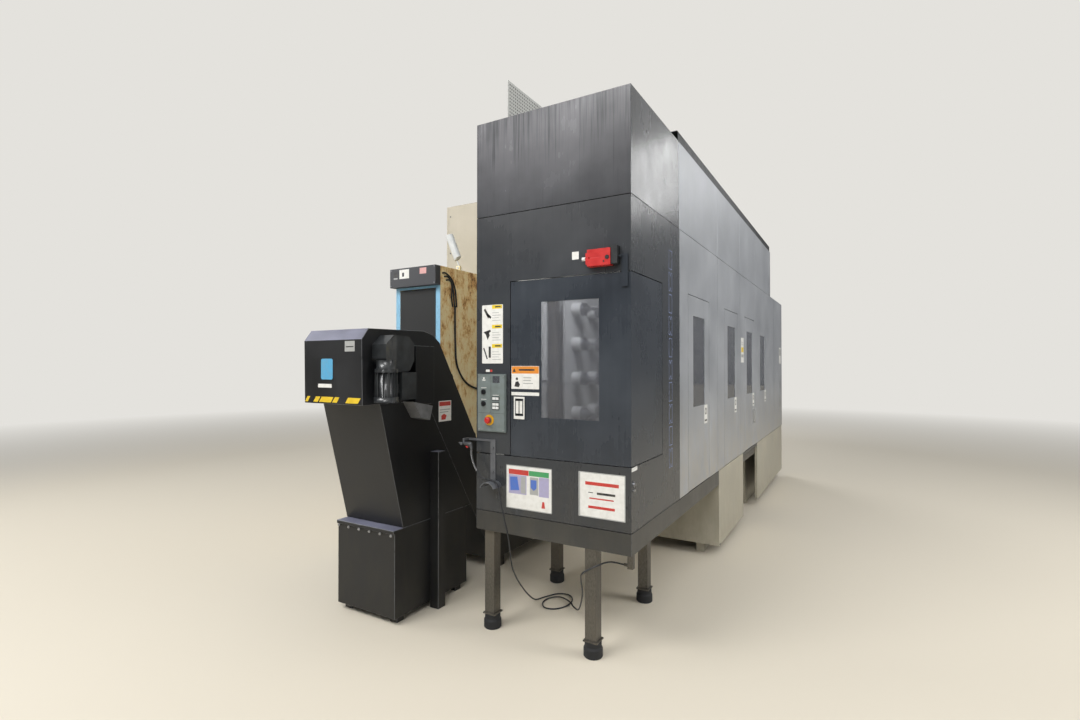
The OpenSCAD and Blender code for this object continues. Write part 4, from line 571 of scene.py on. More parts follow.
# the parts whose bevels get the painted edge highlight
HIGHLIGHTED_EDGES = ["end_upper_panel", "end_mid_panel", "end_lower_panel", "end_sill_panel",
              "loading_door", "conveyor_casing", "coolant_tank"]
for material, names in FINISH.items():
    for name in names:
        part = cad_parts[name]
        part.data.materials.clear()
        part.data.materials.append(material)
for name, width in BEVEL_MM.items():
    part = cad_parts[name]
    weld = part.modifiers.new("weld", "WELD")
    weld.merge_threshold = 1e-6
    bevel = part.modifiers.new("edge", "BEVEL")
    bevel.width = width / 1000
    bevel.segments = 1
    bevel.limit_method = "ANGLE"
    bevel.angle_limit = BEVEL_FROM
    # these bevels get the lighter paint, a painted highlight on the edge
    if name in HIGHLIGHTED_EDGES:
        part.data.materials.append(edge_highlight_paint)
        bevel.material = 1
unfinished = sorted(set(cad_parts) - {n for names in FINISH.values() for n in names})
print("parts without a finish:", unfinished)

# %% [markdown]
# ## The air hose
# The rubber hose hangs from the gun, drops over the grey saddle, lies in loose
# loops on the floor and rises to the fitting under the tower. Its line repeats
# the route points of the CAD part, and its length is what that line measures.

# %% Hose along its route
HOSE_MM = 9.0
HOSE_ROUTE = [
    (-975, -58, 1062), (-975, -58, 1044), (-966, -57, 1000), (-938, -56, 945), (-905, -52, 908),
    (-872, -50, 900), (-815, -50, 894), (-789, -50, 868), (-772, -50, 790), (-745, -50, 680),
    (-722, -46, 590), (-722, -24, 490), (-744, 30, 390), (-782, 130, 290), (-822, 250, 190),
    (-848, 370, 90), (-852, 470, 18), (-832, 560, 6), (-780, 650, 6), (-705, 670, 6),
    (-650, 610, 6), (-640, 520, 6), (-680, 440, 6), (-750, 420, 6), (-800, 480, 6),
    (-795, 560, 6), (-740, 612, 6), (-642, 556, 17), (-588, 508, 14), (-500, 405, 58),
    (-350, 150, 270), (-305, 40, 400), (-272, -14, 456), (-228, -18, 488), (-190, 4, 508),
    (-166, 40, 515), (-146, 74, 513), (-124, 98, 506), (-104, 108, 501), (-84, 110, 500)]


def finish_mesh(name, bm, materials, body):
    """A mesh from bmesh that rides on a body."""
    mesh = bpy.data.meshes.new(name)
    bm.to_mesh(mesh)
    bm.free()
    for material in materials:
        mesh.materials.append(material)
    piece = bpy.data.objects.new(name, mesh)
    scene.collection.objects.link(piece)
    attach(piece, body)
    return piece


def smooth_line(points, steps):
    """A smooth line through the points, as a Catmull-Rom spline."""
    line = []
    for i in range(len(points) - 1):
        a, b, c, d = (points[max(i - 1, 0)], points[i], points[i + 1],
                      points[min(i + 2, len(points) - 1)])
        for k in range(steps):
            t = k / steps
            line.append(0.5 * ((2 * b) + (c - a) * t + (2 * a - 5 * b + 4 * c - d) * t ** 2
                               + (3 * b - a - 3 * c + d) * t ** 3))
    return line + [points[-1]]


def length_of(line):
    """The length of a line in metres."""
    return sum((b - a).length for a, b in zip(line, line[1:]))


def tube(name, line, diameter_mm, material, body, sides=12):
    """A round tube along a line, with closed ends. Each ring takes its side
    from the one before, so that the tube never twists."""
    bm = bmesh.new()
    rings = []
    side = None
    turns = [2 * math.pi * k / sides for k in range(sides)]
    for i, point in enumerate(line):
        ahead = (line[min(i + 1, len(line) - 1)] - line[max(i - 1, 0)]).normalized()
        if side is None:
            side = ahead.orthogonal().normalized()
        side = (side - ahead * side.dot(ahead)).normalized()
        other = ahead.cross(side)
        rings.append([bm.verts.new(point + diameter_mm / 2000 * (
            math.cos(turn) * side + math.sin(turn) * other)) for turn in turns])
    for low, high in zip(rings, rings[1:]):
        for k in range(sides):
            face = bm.faces.new((low[k], low[(k + 1) % sides], high[(k + 1) % sides], high[k]))
            face.smooth = True
    bm.faces.new(list(reversed(rings[0])))
    bm.faces.new(rings[-1])
    return finish_mesh(name, bm, [material], body)


hose_line = smooth_line([place(*p) for p in HOSE_ROUTE], 5)
air_hose = tube("air_hose_run", hose_line, HOSE_MM, hose_rubber, "machine")
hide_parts("air_hose")
print("hose length", round(length_of(hose_line), 3))

# %% [markdown]
# ## Flat pieces on the panels
# Labels, plates and stripes all lie flat on a panel. A panel is described once
# by where it stands and which way is across, up and out. A flat piece is then
# a list of outlines in millimetres, each with its material and its thickness.

# %% Panels and flat pieces
PANELS = {
    "end": (Vector((1, 0, 0)), Vector((0, 0, 1)), Vector((0, -1, 0))),
    "flank": (Vector((0, 1, 0)), Vector((0, 0, 1)), Vector((1, 0, 0))),
    "rear": (Vector((-1, 0, 0)), Vector((0, 0, 1)), Vector((0, 1, 0))),
    "left": (Vector((0, -1, 0)), Vector((0, 0, 1)), Vector((-1, 0, 0))),
}


def oblong(a0, b0, a1, b1, r=0.0, steps=5):
    """A rectangle between two corners, with round corners of radius r."""
    if r <= 0:
        return [(a0, b0), (a1, b0), (a1, b1), (a0, b1)]
    outline = []
    for ca, cb, turn in ((a1 - r, b0 + r, -90), (a1 - r, b1 - r, 0), (a0 + r, b1 - r, 90),
                         (a0 + r, b0 + r, 180)):
        for k in range(steps + 1):
            angle = math.radians(turn + 90 * k / steps)
            outline.append((ca + r * math.cos(angle), cb + r * math.sin(angle)))
    return outline


def disc(a, b, r, sides=24):
    """A round outline."""
    return [(a + r * math.cos(2 * math.pi * k / sides), b + r * math.sin(2 * math.pi * k / sides))
            for k in range(sides)]


def on_panel(panel, a, b, level, lift):
    """The place of (a, b) on a panel. Both are counted along the machine's own
    x, y or z, and lift goes out of the panel's face at that level."""
    across, up, out = PANELS[panel]
    along = Vector([abs(v) for v in across])
    depth = Vector([abs(v) for v in out])
    return place(*(along * a + up * b + depth * level + out * lift))


def add_outline(bm, panel, level, outline, start, stop, index):
    """A closed solid between two lifts. Its outline runs anticlockwise as seen
    from outside, where across may run against the machine's own axis."""
    area = sum(p[0] * q[1] - q[0] * p[1] for p, q in zip(outline, outline[1:] + outline[:1]))
    against = sum(PANELS[panel][0]) < 0
    if (area < 0) != against:
        outline = list(reversed(outline))
    low, high = [[bm.verts.new(on_panel(panel, a, b, level, lift)) for a, b in outline]
                 for lift in (start, stop)]
    count = len(outline)
    faces = [bm.faces.new(high), bm.faces.new(list(reversed(low)))]
    faces += [bm.faces.new((low[k], low[(k + 1) % count], high[(k + 1) % count], high[k]))
              for k in range(count)]
    for face in faces:
        face.material_index = index


def flat_piece(name, panel, level, shapes, body):
    """Outlines raised from a panel; a shape is (outline, material, from, to),
    in millimetres."""
    bm = bmesh.new()
    materials = []
    for outline, material, start, stop in shapes:
        if material not in materials:
            materials.append(material)
        add_outline(bm, panel, level, outline, start, stop, materials.index(material))
    return finish_mesh(name, bm, materials, body)


print("panels:", ", ".join(PANELS))

# %% [markdown]
# ## Labels on the dark end
# The real labels warn and explain in words and pictures. Here each keeps its
# size, place and colours, and a few plain bars and shapes stand for what is
# printed. An image would be quicker but would need the real words, so every
# bar is a thin solid of its own. The label by the door has an orange head.

# %% Labels by the door
FILM = 0.25
INK = 0.35
PRINT = 0.45
flat_piece("door_notice_label", "end", 0, [
    (oblong(-730, 1426, -545, 1557, 3), film_white, 0, FILM),
    (oblong(-728, 1514, -547, 1555, 2), film_orange, FILM, INK),
    ([(-722, 1523), (-700, 1523), (-711, 1545)], black_film_and_hole_shade, INK, PRINT),
    (oblong(-680, 1530, -575, 1540, 3), black_film_and_hole_shade, INK, PRINT),
    (oblong(-650, 1488, -595, 1493), film_grey, FILM, INK),
    (oblong(-650, 1472, -600, 1477), film_grey, FILM, INK),
    (oblong(-650, 1456, -585, 1461), film_grey, FILM, INK),
    (oblong(-657, 1436, -656, 1505), film_grey, FILM, INK),
    (disc(-693, 1484, 8), black_film_and_hole_shade, FILM, INK),
    ([(-710, 1440), (-680, 1436), (-672, 1450), (-684, 1470), (-702, 1466)], black_film_and_hole_shade, FILM, INK),
], "loading_door")
flat_piece("door_strip_label", "end", 0, [
    (oblong(-730, 1389, -545, 1408, 2), film_white, 0, FILM),
], "loading_door")
print("labels on the door are in place")

# %% [markdown]
# The tall label on the frame has three fields, one above the other, each with
# a yellow corner, four lines and a dark shape of two strokes. Two small ones
# sit beside the interlock and over the button panel.

# %% Labels on the frame
tall = [(oblong(-940, 1572, -790, 1918, 6), film_white, 0, FILM)]
for low in (1806, 1690, 1576):
    tall.append((oblong(-868, low + 88, -796, low + 110, 2), film_yellow, FILM, INK))
    tall.append((oblong(-846, low + 95, -806, low + 103, 2), black_film_and_hole_shade, INK, PRINT))
    for row in range(4):
        line = low + 18 + 15 * row
        tall.append((oblong(-866, line, -806 - 14 * (row % 2), line + 3), film_grey, FILM, INK))
for outline in ([(-928, 1890), (-918, 1900), (-884, 1850), (-896, 1838)],
                [(-905, 1856), (-880, 1836), (-872, 1846), (-896, 1868)],
                [(-930, 1758), (-880, 1772), (-876, 1760), (-912, 1742)],
                [(-912, 1742), (-894, 1764), (-884, 1738), (-900, 1712)],
                [(-932, 1662), (-924, 1666), (-898, 1600), (-906, 1596)],
                [(-892, 1672), (-876, 1672), (-876, 1606), (-892, 1606)]):
    tall.append((outline, black_film_and_hole_shade, FILM, INK))
flat_piece("frame_notice_label", "end", 0, tall, "machine")
flat_piece("small_square_label", "end", 0, [
    (oblong(-338, 2132, -297, 2174, 2), film_white, 0, FILM)], "machine")
flat_piece("small_frame_label", "end", 0, [
    (oblong(-918, 1518, -860, 1540, 3), black_film_and_hole_shade, 0, FILM),
    (oblong(-912, 1522, -884, 1536, 2), film_white, FILM, INK),
    (oblong(-880, 1522, -866, 1536, 2), film_red, FILM, INK)], "machine")
print("labels on the frame are in place")

# %% [markdown]
# The two notices are paper in clear sleeves, taped at their edges. The left
# one has a red and a green heading over blue and grey fields, the right one
# a few lines of red and black bars.

# %% Notices under the door
def bar(z, centre, half, film, thick):
    """A bar round a centre, where a notice has a line."""
    return oblong(centre - half, z - thick, centre + half, z + thick, 1.5), film, FILM, INK


flat_piece("left_notice", "end", 0, [
    (oblong(-766, 740, -463, 988, 4), film_grey, 0, 0.15),
    (oblong(-761, 745, -468, 983, 2), film_white, 0.15, FILM),
    (oblong(-748, 936, -614, 965), film_red, FILM, INK),
    (oblong(-612, 936, -482, 965), film_green, FILM, INK),
    (oblong(-748, 826, -628, 934), film_lilac, FILM, INK),
    ([(-736, 842), (-676, 848), (-690, 924), (-740, 920)], film_blue, INK, PRINT),
    (oblong(-666, 832, -634, 928), film_grey, INK, PRINT),
    (oblong(-606, 832, -550, 930), film_grey, FILM, INK),
    ([(-600, 870), (-580, 855), (-562, 870), (-562, 915), (-600, 915)], film_blue, INK, PRINT),
    (oblong(-546, 826, -482, 934), film_lilac, FILM, INK),
    (oblong(-748, 764, -640, 820), film_white, FILM, INK),
    (oblong(-636, 764, -545, 820), film_white, FILM, INK),
    ([(-530, 764), (-506, 764), (-512, 800), (-524, 800)], film_red, FILM, INK),
], "machine")
flat_piece("right_notice", "end", 0, [
    (oblong(-300, 756, -32, 995, 3), film_grey, 0, 0.15),
    (oblong(-290, 761, -37, 990, 2), film_white, 0.15, FILM),
    bar(936, -164, 96, film_red, 9), bar(886, -140, 52, black_film_and_hole_shade, 6),
    bar(888, -228, 14, black_film_and_hole_shade, 2), bar(858, -166, 70, film_red, 3.5),
    bar(812, -166, 76, film_red, 7)], "machine")
print("notices are in place")

# %% [markdown]
# ## Labels on the long side
# Small white labels with a dark sign sit below each pane, and a white and
# yellow one hangs between the second and the third door. A label on a door
# rides on that door, so it swings out with it.

# %% Labels on the flank
for i, (y, body) in enumerate([(1490, "flank_door_1"), (2606, "flank_door_2"),
                               (3560, "flank_door_3"), (4386, "machine")]):
    flat_piece("pane_label_%d" % (i + 1), "flank", 0, [
        (oblong(y, 1128, y + 92, 1266, 4), film_white, 0, FILM),
        (disc(y + 46, 1218, 26), black_film_and_hole_shade, FILM, INK),
        (disc(y + 46, 1218, 15), film_white, INK, PRINT),
        (oblong(y + 14, 1144, y + 78, 1156, 2), black_film_and_hole_shade, FILM, INK)], body)
flat_piece("long_side_notice", "flank", 0, [
    (oblong(2924, 1590, 3060, 1830, 4), film_white, 0, FILM),
    (oblong(2934, 1690, 3050, 1738), film_yellow, FILM, INK),
    (oblong(2940, 1760, 3040, 1766), film_grey, FILM, INK),
    (oblong(2940, 1780, 3020, 1786), film_grey, FILM, INK),
    (oblong(2940, 1640, 3046, 1668), film_grey, FILM, INK)], "machine")
flat_piece("far_label", "flank", 0, [
    (oblong(5720, 1588, 5900, 1812, 4), film_white, 0, FILM),
    (oblong(5740, 1700, 5880, 1790), film_grey, FILM, INK)], "machine")
print("labels on the flank are in place")

# %% [markdown]
# A column of outlined shapes decorates the edge of the dark panel. Each is a
# closed line of one width, which is four-cornered strips with mitred ends, so
# that two of them never overlap in a corner.

# %% Ornament on the flank
def outline_band(points, width):
    """The four-cornered strips of a closed outline of that width, mitred."""
    sides = []
    for i, point in enumerate(points):
        before = (Vector(point) - Vector(points[i - 1])).normalized()
        after = (Vector(points[(i + 1) % len(points)]) - Vector(point)).normalized()
        mitre = (before + after).orthogonal().normalized()
        reach = mitre * width / 2 / max(abs(mitre.dot(after.orthogonal())), 0.4)
        sides.append((Vector(point) + reach, Vector(point) - reach))
    return [[tuple(a[0]), tuple(b[0]), tuple(b[1]), tuple(a[1])]
            for a, b in zip(sides, sides[1:] + sides[:1])]


ORNAMENT_LOW = 938
ORNAMENT_STEP = 135
ORNAMENT_COUNT = 10
ornament = []
for i in range(ORNAMENT_COUNT):
    z = ORNAMENT_LOW + i * ORNAMENT_STEP
    shape = ([(634, z), (695, z), (695, z + 112), (634, z + 112)] if i % 2 else
             [(634, z), (652, z), (665, z + 20), (677, z), (695, z), (695, z + 112),
              (677, z + 112), (665, z + 92), (652, z + 112), (634, z + 112)])
    for strip in outline_band(shape, 5.0):
        ornament.append((strip, film_slate, 0, 0.2))
flat_piece("flank_ornament", "flank", 0, ornament, "machine")
print("strips in the ornament:", len(ornament))

# %% [markdown]
# ## The button panel
# The panel is printed film on a cast plate: two fine lines part it, a dark
# display sits at the top, and each group of white buttons has a black frame.
# The plate is a part of the CAD model, so the film is counted from its lower
# left corner, and stays in place if the panel is moved.

# %% Film and frames of the button panel
panel_low = corners("button_panel")[0]
KEY_X, KEY_Z = round(panel_low.x), round(panel_low.z)
FACE = 16.0


def on_key(a0, b0, a1, b1, r=0.0):
    """An oblong counted from the lower left corner of the button panel."""
    return oblong(KEY_X + a0, KEY_Z + b0, KEY_X + a1, KEY_Z + b1, r)


flat_piece("button_panel_film", "end", 0, [
    (on_key(98, 112, 99.5, 333), black_film_and_hole_shade, FACE, FACE + FILM),
    (on_key(6, 109, 193, 110.5), black_film_and_hole_shade, FACE, FACE + FILM),
    (on_key(112, 288, 159, 326, 2), smoked_pane, FACE - 1, FACE + 0.4),
    (on_key(36, 300, 60, 306, 2), film_white, FACE, FACE + FILM),
    (disc(KEY_X + 48, KEY_Z + 314, 6), film_white, FACE, FACE + FILM),
    (on_key(28, 256, 66, 259), film_white, FACE, FACE + FILM),
    (on_key(28, 188, 66, 191), film_white, FACE, FACE + FILM),
    (on_key(112, 214, 154, 217), film_white, FACE, FACE + FILM),
], "machine")
flat_piece("button_frames", "end", 0, [
    (on_key(*strip, 2), black_plastic, FACE - 0.2, FACE + 2) for strip in (
        (107, 184, 158, 187.6), (107, 204.4, 158, 208), (107, 187.6, 109.6, 204.4),
        (132, 187.6, 133, 204.4), (155.4, 187.6, 158, 204.4), (107, 130, 158, 133.6),
        (107, 170.4, 158, 174), (107, 133.6, 109.6, 170.4), (132, 133.6, 133, 170.4),
        (155.4, 133.6, 158, 170.4), (109.6, 150.5, 155.4, 153.5))], "machine")
flat_piece("stop_collar_ring", "end", 0, [
    (strip, collar_yellow, FACE - 0.2, FACE + 4.6) for strip in outline_band(
        disc(KEY_X + 89, KEY_Z + 69, 25, 20), 13)], "machine")
print("button panel starts at", KEY_X, KEY_Z)

# %% [markdown]
# The latch lies in a pale plate, and its paddle has two pale strips with a
# dark line between them. Plate and strips belong to two bodies, the door and
# the paddle, so they are two pieces with a gap that the paddle turns through.

# %% Latch of the loading door
flat_piece("latch_plate_film", "end", 0, [
    (oblong(-711, 1254, -703, 1381, 1), film_white, 4, 4.6),
    (oblong(-647, 1254, -639, 1381, 1), film_white, 4, 4.6),
    (oblong(-703, 1371, -647, 1381), film_white, 4, 4.6),
    (oblong(-703, 1254, -647, 1272), film_white, 4, 4.6)], "loading_door")
flat_piece("latch_paddle_strips", "end", 0, [
    (oblong(-697, 1286, -678, 1357, 1), film_white, 5, 5.5),
    (oblong(-672, 1286, -653, 1357, 1), film_white, 5, 5.5)], "loading_latch")
print("latch plate and paddle are in place")

# %% [markdown]
# The red interlock has a black head at the corner, a round plug on its face
# and a white gland for its lead. They take their places from the box of the
# switch in the CAD model.

# %% Head and gland of the interlock
switch_low, switch_high = corners("interlock_switch")
left, right = switch_low.x, switch_high.x
low, high = switch_low.z, switch_high.z
front = -switch_low.y
flat_piece("interlock_head_cover", "end", 0, [
    (oblong(right - 36, low + 4, right + 1.5, high + 1.5, 3), black_plastic, 2, front - 4.5),
    (disc(right - 52, low + 40, 11, 20), black_plastic, front, front + 3),
    (oblong(right - 74, low + 14, right - 68, low + 26, 1), black_plastic, front, front + 1)],
    "machine")
gland = [place(left + step, -front / 2 - 2, (low + high - 10) / 2) for step in (0.5, 8, 21)]
tube("interlock_gland", gland, 21.5, cap_white, "machine", 16)
print("interlock is", round(right - left), "mm wide")

# %% [markdown]
# A small white plate sits on the corner of the flank with a round lock below
# it. The lock is turned steel, so it is two discs with a slot and a hasp.

# %% Plate and lock on the corner
flat_piece("corner_plate", "flank", 0, [
    (oblong(4, 1016, 84, 1036, 2), film_white, 0, 0.6)], "machine")
flat_piece("corner_lock", "flank", 0, [
    (disc(34, 948, 17, 20), zinc_steel, 0, 5), (disc(34, 948, 11, 20), zinc_steel, 5, 9),
    (oblong(31, 930, 37, 966, 2), black_plastic, 9, 9.5),
    (oblong(20, 912, 48, 922, 3), zinc_steel, 0, 6)], "machine")
print("corner plate and lock are in place")

# %% [markdown]
# ## The conveyor and the cabinet
# The head of the conveyor has a yellow and black edge, a grey rating field
# and a plain blue tile. Its front leans out by six millimetres towards the
# top, so each field starts a little further out than the one below it.

# %% Fields and stripes on the conveyor
HEAD_FRONT = -500
CONVEYOR_SIDE = -1400
flat_piece("edge_stripes", "end", HEAD_FRONT, [
    ([(a, 1344), (b, 1344), (b + 24, 1376), (a + 24, 1376)], sign_yellow, 0, 0.9)
    for a, b in ((-1896, -1872), (-1820, -1780), (-1768, -1664), (-1652, -1612), (-1540, -1436))],
    "machine")
flat_piece("head_fields", "end", HEAD_FRONT, [
    (oblong(-1539, 1640, -1457, 1700, 2), film_grey, 4, 6.2),
    (oblong(-1530, 1664, -1466, 1670), black_film_and_hole_shade, 6.2, 6.4),
    (oblong(-1775, 1430, -1655, 1452, 2), film_white, 1.4, 2.2),
    (oblong(-1746, 1478, -1644, 1600, 12), film_sky, 2.2, 4.6)], "machine")
flat_piece("drip_hood", "flank", CONVEYOR_SIDE, [
    ([(-187, 1341), (-18, 1308), (-43, 1220), (-119, 1238)], galvanised, 0.3, 91)],
    "machine")
flat_piece("slope_label", "flank", CONVEYOR_SIDE, [
    (oblong(142, 1187, 269, 1324, 3), film_white, 0, FILM),
    (oblong(148, 1290, 263, 1318, 2), film_red, FILM, INK),
    (oblong(152, 1262, 258, 1268), film_grey, FILM, INK),
    (oblong(152, 1246, 240, 1252), film_grey, FILM, INK),
    ([(170, 1198), (210, 1198), (222, 1224), (196, 1238), (168, 1226)], film_red, FILM, INK)],
    "machine")
print("conveyor fields are in place")

# %% [markdown]
# The header of the cabinet has two small fields and a dark square. Three
# black conduits bend from it down the cream side, and a longer one runs on to
# the rear. They are clipped to the sheet all the way and can't move, so they
# are tubes along a smooth line and no cords.

# %% Fields and conduits on the cabinet
HEADER_FRONT = round(CABINET_LOW.y)
flat_piece("header_fields", "end", HEADER_FRONT, [
    (oblong(-2404, 2300, -2293, 2378, 2), film_white, 0, FILM),
    (oblong(-2372, 2318, -2350, 2352), black_film_and_hole_shade, FILM, INK),
    (oblong(-2173, 2326, -2100, 2376, 2), film_pink, 0, FILM),
    (oblong(-2471, 2318, -2426, 2362, 2), black_film_and_hole_shade, 0, FILM),
    (oblong(-2471, 2300, -2426, 2312, 2), film_grey, 0, FILM)], "machine")
for i, (start, drop) in enumerate(((872, 0), (896, 26), (920, 52))):
    bend = smooth_line([place(*q) for q in (
        (-1996, start, 2330 - drop), (-1994, start + 44, 2334 - drop), (-1992, 990, 2290 - drop),
        (-1992, 1036 - drop, 2200 - drop), (-1992, 1052 - drop, 2060))], 6)
    tube("header_conduit_%d" % (i + 1), bend, 13, black_plastic, "machine")
long_bend = smooth_line([place(*q) for q in (
    (-1991, 1030, 2070), (-1991, 1034, 1760), (-1991, 1060, 1560), (-1991, 1170, 1420),
    (-1991, 1340, 1352), (-1991, 1600, 1318), (-1991, 1960, 1300))], 8)
tube("side_conduit", long_bend, 17, black_plastic, "machine")
print("longest conduit", round(length_of(long_bend), 2), "m")

# %% [markdown]
# ## What repeats: Geometry Nodes
# Bolts, perforations, slots, keys and the turns of a spring are one small
# shape many times over. Geometry Nodes set such a shape down wherever a tree
# says, with its sizes as named inputs. Every tree ends in real faces with
# their material, and the modifier is then swapped for the plain mesh.

# %% Growing a piece from a tree
def tree_with(name, sockets):
    """An empty tree with these named inputs, and their sockets."""
    tree = bpy.data.node_groups.new(name, "GeometryNodeTree")
    tree.interface.new_socket("Geometry", in_out="INPUT", socket_type="NodeSocketGeometry")
    for label, kind in sockets:
        tree.interface.new_socket(label, in_out="INPUT", socket_type="NodeSocket" + kind)
    tree.interface.new_socket("Geometry", in_out="OUTPUT", socket_type="NodeSocketGeometry")
    return tree, tree.nodes.new("NodeGroupInput").outputs


def close_tree(tree, shape, material):
    """Real faces with their material, out of the tree."""
    real = add(tree, "GeometryNodeRealizeInstances", [shape], 0)
    painted = add(tree, "GeometryNodeSetMaterial", {"Geometry": real, "Material": material}, 0)
    add(tree, "NodeGroupOutput", [painted])


def grow(name, tree, values, body, points=((0, 0, 0),), facing=(0, 0, 1), joined=False):
    """A plain mesh grown by a tree, from points in metres, joined in a line or loose."""
    mesh = bpy.data.meshes.new(name)
    steps = [(i, i + 1) for i in range(len(points) - 1)] if joined else []
    mesh.from_pydata(points, steps, [])
    turned = mesh.attributes.new("facing", "FLOAT_VECTOR", "POINT")
    for entry in turned.data:
        entry.vector = facing
    piece = bpy.data.objects.new(name, mesh)
    scene.collection.objects.link(piece)
    modifier = piece.modifiers.new("grow", "NODES")
    modifier.node_group = tree
    for item in tree.interface.items_tree:
        if item.in_out == "INPUT" and item.name in values:
            modifier[item.identifier] = values[item.name]
    depsgraph = bpy.context.evaluated_depsgraph_get()
    grown = bpy.data.meshes.new_from_object(piece.evaluated_get(depsgraph), depsgraph=depsgraph)
    piece.modifiers.remove(modifier)
    piece.data = grown
    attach(piece, body)
    return piece


print("ready to grow pieces")

# %% [markdown]
# The first tree puts a bolt's head and washer on every point of a mesh and
# turns them to the point's own facing, which the mesh carries as an
# attribute. A list of places is then all that a row of bolts needs.

# %% The tree of heads on points
heads, given = tree_with("heads_on_points", [
    ("Across", "Float"), ("Height", "Float"), ("Sides", "Int"), ("Washer", "Float"),
    ("Finish", "Material")])
radius = add(heads, MATH, [given["Across"], 0.5], 0, operation="MULTIPLY")
head = add(heads, "GeometryNodeMeshCylinder", {
    "Vertices": given["Sides"], "Radius": radius, "Depth": given["Height"]}, "Mesh")
half = add(heads, MATH, [given["Height"], 0.5], 0, operation="MULTIPLY")
raised = add(heads, "ShaderNodeCombineXYZ", {"Z": half}, 0)
head = add(heads, "GeometryNodeTransform", {"Geometry": head, "Translation": raised}, 0)
washer_radius = add(heads, MATH, [given["Washer"], 0.5], 0, operation="MULTIPLY")
washer = add(heads, "GeometryNodeMeshCylinder", {
    "Vertices": 16, "Radius": washer_radius, "Depth": half}, "Mesh")
both = add(heads, "GeometryNodeJoinGeometry", out=0)
heads.links.new(head, both.node.inputs[0])
heads.links.new(washer, both.node.inputs[0])
facing = add(heads, "GeometryNodeInputNamedAttribute", {"Name": "facing"}, "Attribute",
             data_type="FLOAT_VECTOR")
turn = add(heads, "FunctionNodeAlignRotationToVector", {"Vector": facing}, 0, axis="Z")
placed = add(heads, "GeometryNodeInstanceOnPoints", {
    "Points": given["Geometry"], "Instance": both, "Rotation": turn}, 0)
close_tree(heads, placed, given["Finish"])
print("inputs of the heads:", [socket.name for socket in given if socket.name])

# %% [markdown]
# The second tree makes its own grid and sets a round or flattened bead on each
# crossing. Holes, slots and keys are all such rows, in other sizes: a hole is
# a bead so thin that it lies on the sheet as a dark spot, which is painted
# shade in place of the opening.

# %% The tree of rows
rows, given = tree_with("rows_of_one_shape", [
    ("Wide", "Float"), ("Tall", "Float"), ("Columns", "Int"), ("Rows", "Int"),
    ("Size", "Vector"), ("Middle", "Vector"), ("Turn", "Vector"), ("Finish", "Material")])
field = add(rows, "GeometryNodeMeshGrid", {
    "Size X": given["Wide"], "Size Y": given["Tall"], "Vertices X": given["Columns"],
    "Vertices Y": given["Rows"]}, "Mesh")
bead = add(rows, "GeometryNodeMeshCylinder", {"Vertices": 8, "Radius": 0.5, "Depth": 1.0}, "Mesh")
set_down = add(rows, "GeometryNodeInstanceOnPoints", {
    "Points": field, "Instance": bead, "Scale": given["Size"]}, 0)
stood = add(rows, "GeometryNodeTransform", {
    "Geometry": set_down, "Translation": given["Middle"], "Rotation": given["Turn"]}, 0)
close_tree(rows, stood, given["Finish"])
print("inputs of the rows:", [socket.name for socket in given if socket.name])

# %% [markdown]
# The cell and the back of the tower are held by button heads along the edges
# of their sheets, the button panel and the header by small screws, and the
# coolant tank by zinc bolts. The walls are named places, taken from the CAD
# parts, and the heads on the left are set in so far that they lie almost flush.

# %% Bolts and screws
cell_low = corners("cell_panels")[0]
CELL_LEFT, CELL_FRONT = round(cell_low.x), round(cell_low.y)
CELL_REAR = 6050
TOWER_LEFT = round(corners("tower_back_panels")[0].x)
TANK_FRONT = round(corners("coolant_tank")[0].y)
SET_IN = 3
TO = {"front": (0, -1, 0), "right": (1, 0, 0), "left": (-1, 0, 0), "rear": (0, 1, 0)}
M8_BOLT = {"Across": 0.013, "Height": 0.0055, "Sides": 6, "Washer": 0.017, "Finish": zinc_steel}
SMALL_SCREW = {"Across": 0.007, "Height": 0.002, "Sides": 12, "Washer": 0.008, "Finish": zinc_steel}
BUTTON_HEAD = {"Across": 0.012, "Height": 0.004, "Sides": 12, "Washer": 0.016, "Finish": die_cast}
BOLTS = [
    ("cell_left_bolts", BUTTON_HEAD, "left",
     [(CELL_LEFT + SET_IN, y, z) for y in (2040, 2930, 3000, 3890, 3960, 4840)
      for z in range(160, 3260, 340)]
     + [(CELL_LEFT + SET_IN, y, z) for y in (4930, 6000) for z in range(160, 2400, 340)]),
    ("cell_front_bolts", BUTTON_HEAD, "front",
     [(x, CELL_FRONT, z) for x in (-2850, -1040) for z in range(2380, 3260, 200)]),
    ("cell_rear_bolts", BUTTON_HEAD, "rear",
     [(x, CELL_REAR, z) for x in (-2850, -1040) for z in range(160, 2400, 340)]),
    ("tower_left_screws", BUTTON_HEAD, "left",
     [(TOWER_LEFT, y, z) for y in (60, 450, 820) for z in range(640, 3000, 330)]),
    ("panel_screws", SMALL_SCREW, "front",
     [(KEY_X + x, -FACE, KEY_Z + z) for x in (12, 187) for z in (12, 327)]),
    ("header_screws", SMALL_SCREW, "front",
     [(x, HEADER_FRONT, z) for x in (-2502, -2014) for z in (2244, 2380)]),
    ("skirt_screws", BUTTON_HEAD, "right", [(0, y, 96) for y in (1990, 3800)]),
    ("tank_screws", M8_BOLT, "front", [(x, TANK_FRONT, 540) for x in range(-1880, -1400, 92)]),
]
for name, kind, way, points in BOLTS:
    grow(name, heads, kind, "machine", [place(*q) for q in points], TO[way])
print("bolts and screws:", sum(len(row[3]) for row in BOLTS))

# %% [markdown]
# The screen on the roof is perforated sheet, which seen from the aisle is a
# fine dark pattern. Louvres let the heat out of the cell and the tower; from
# a few steps away each is a long dark slot. Holes and slots are thin black
# beads on the sheet: painted shade where the openings are.

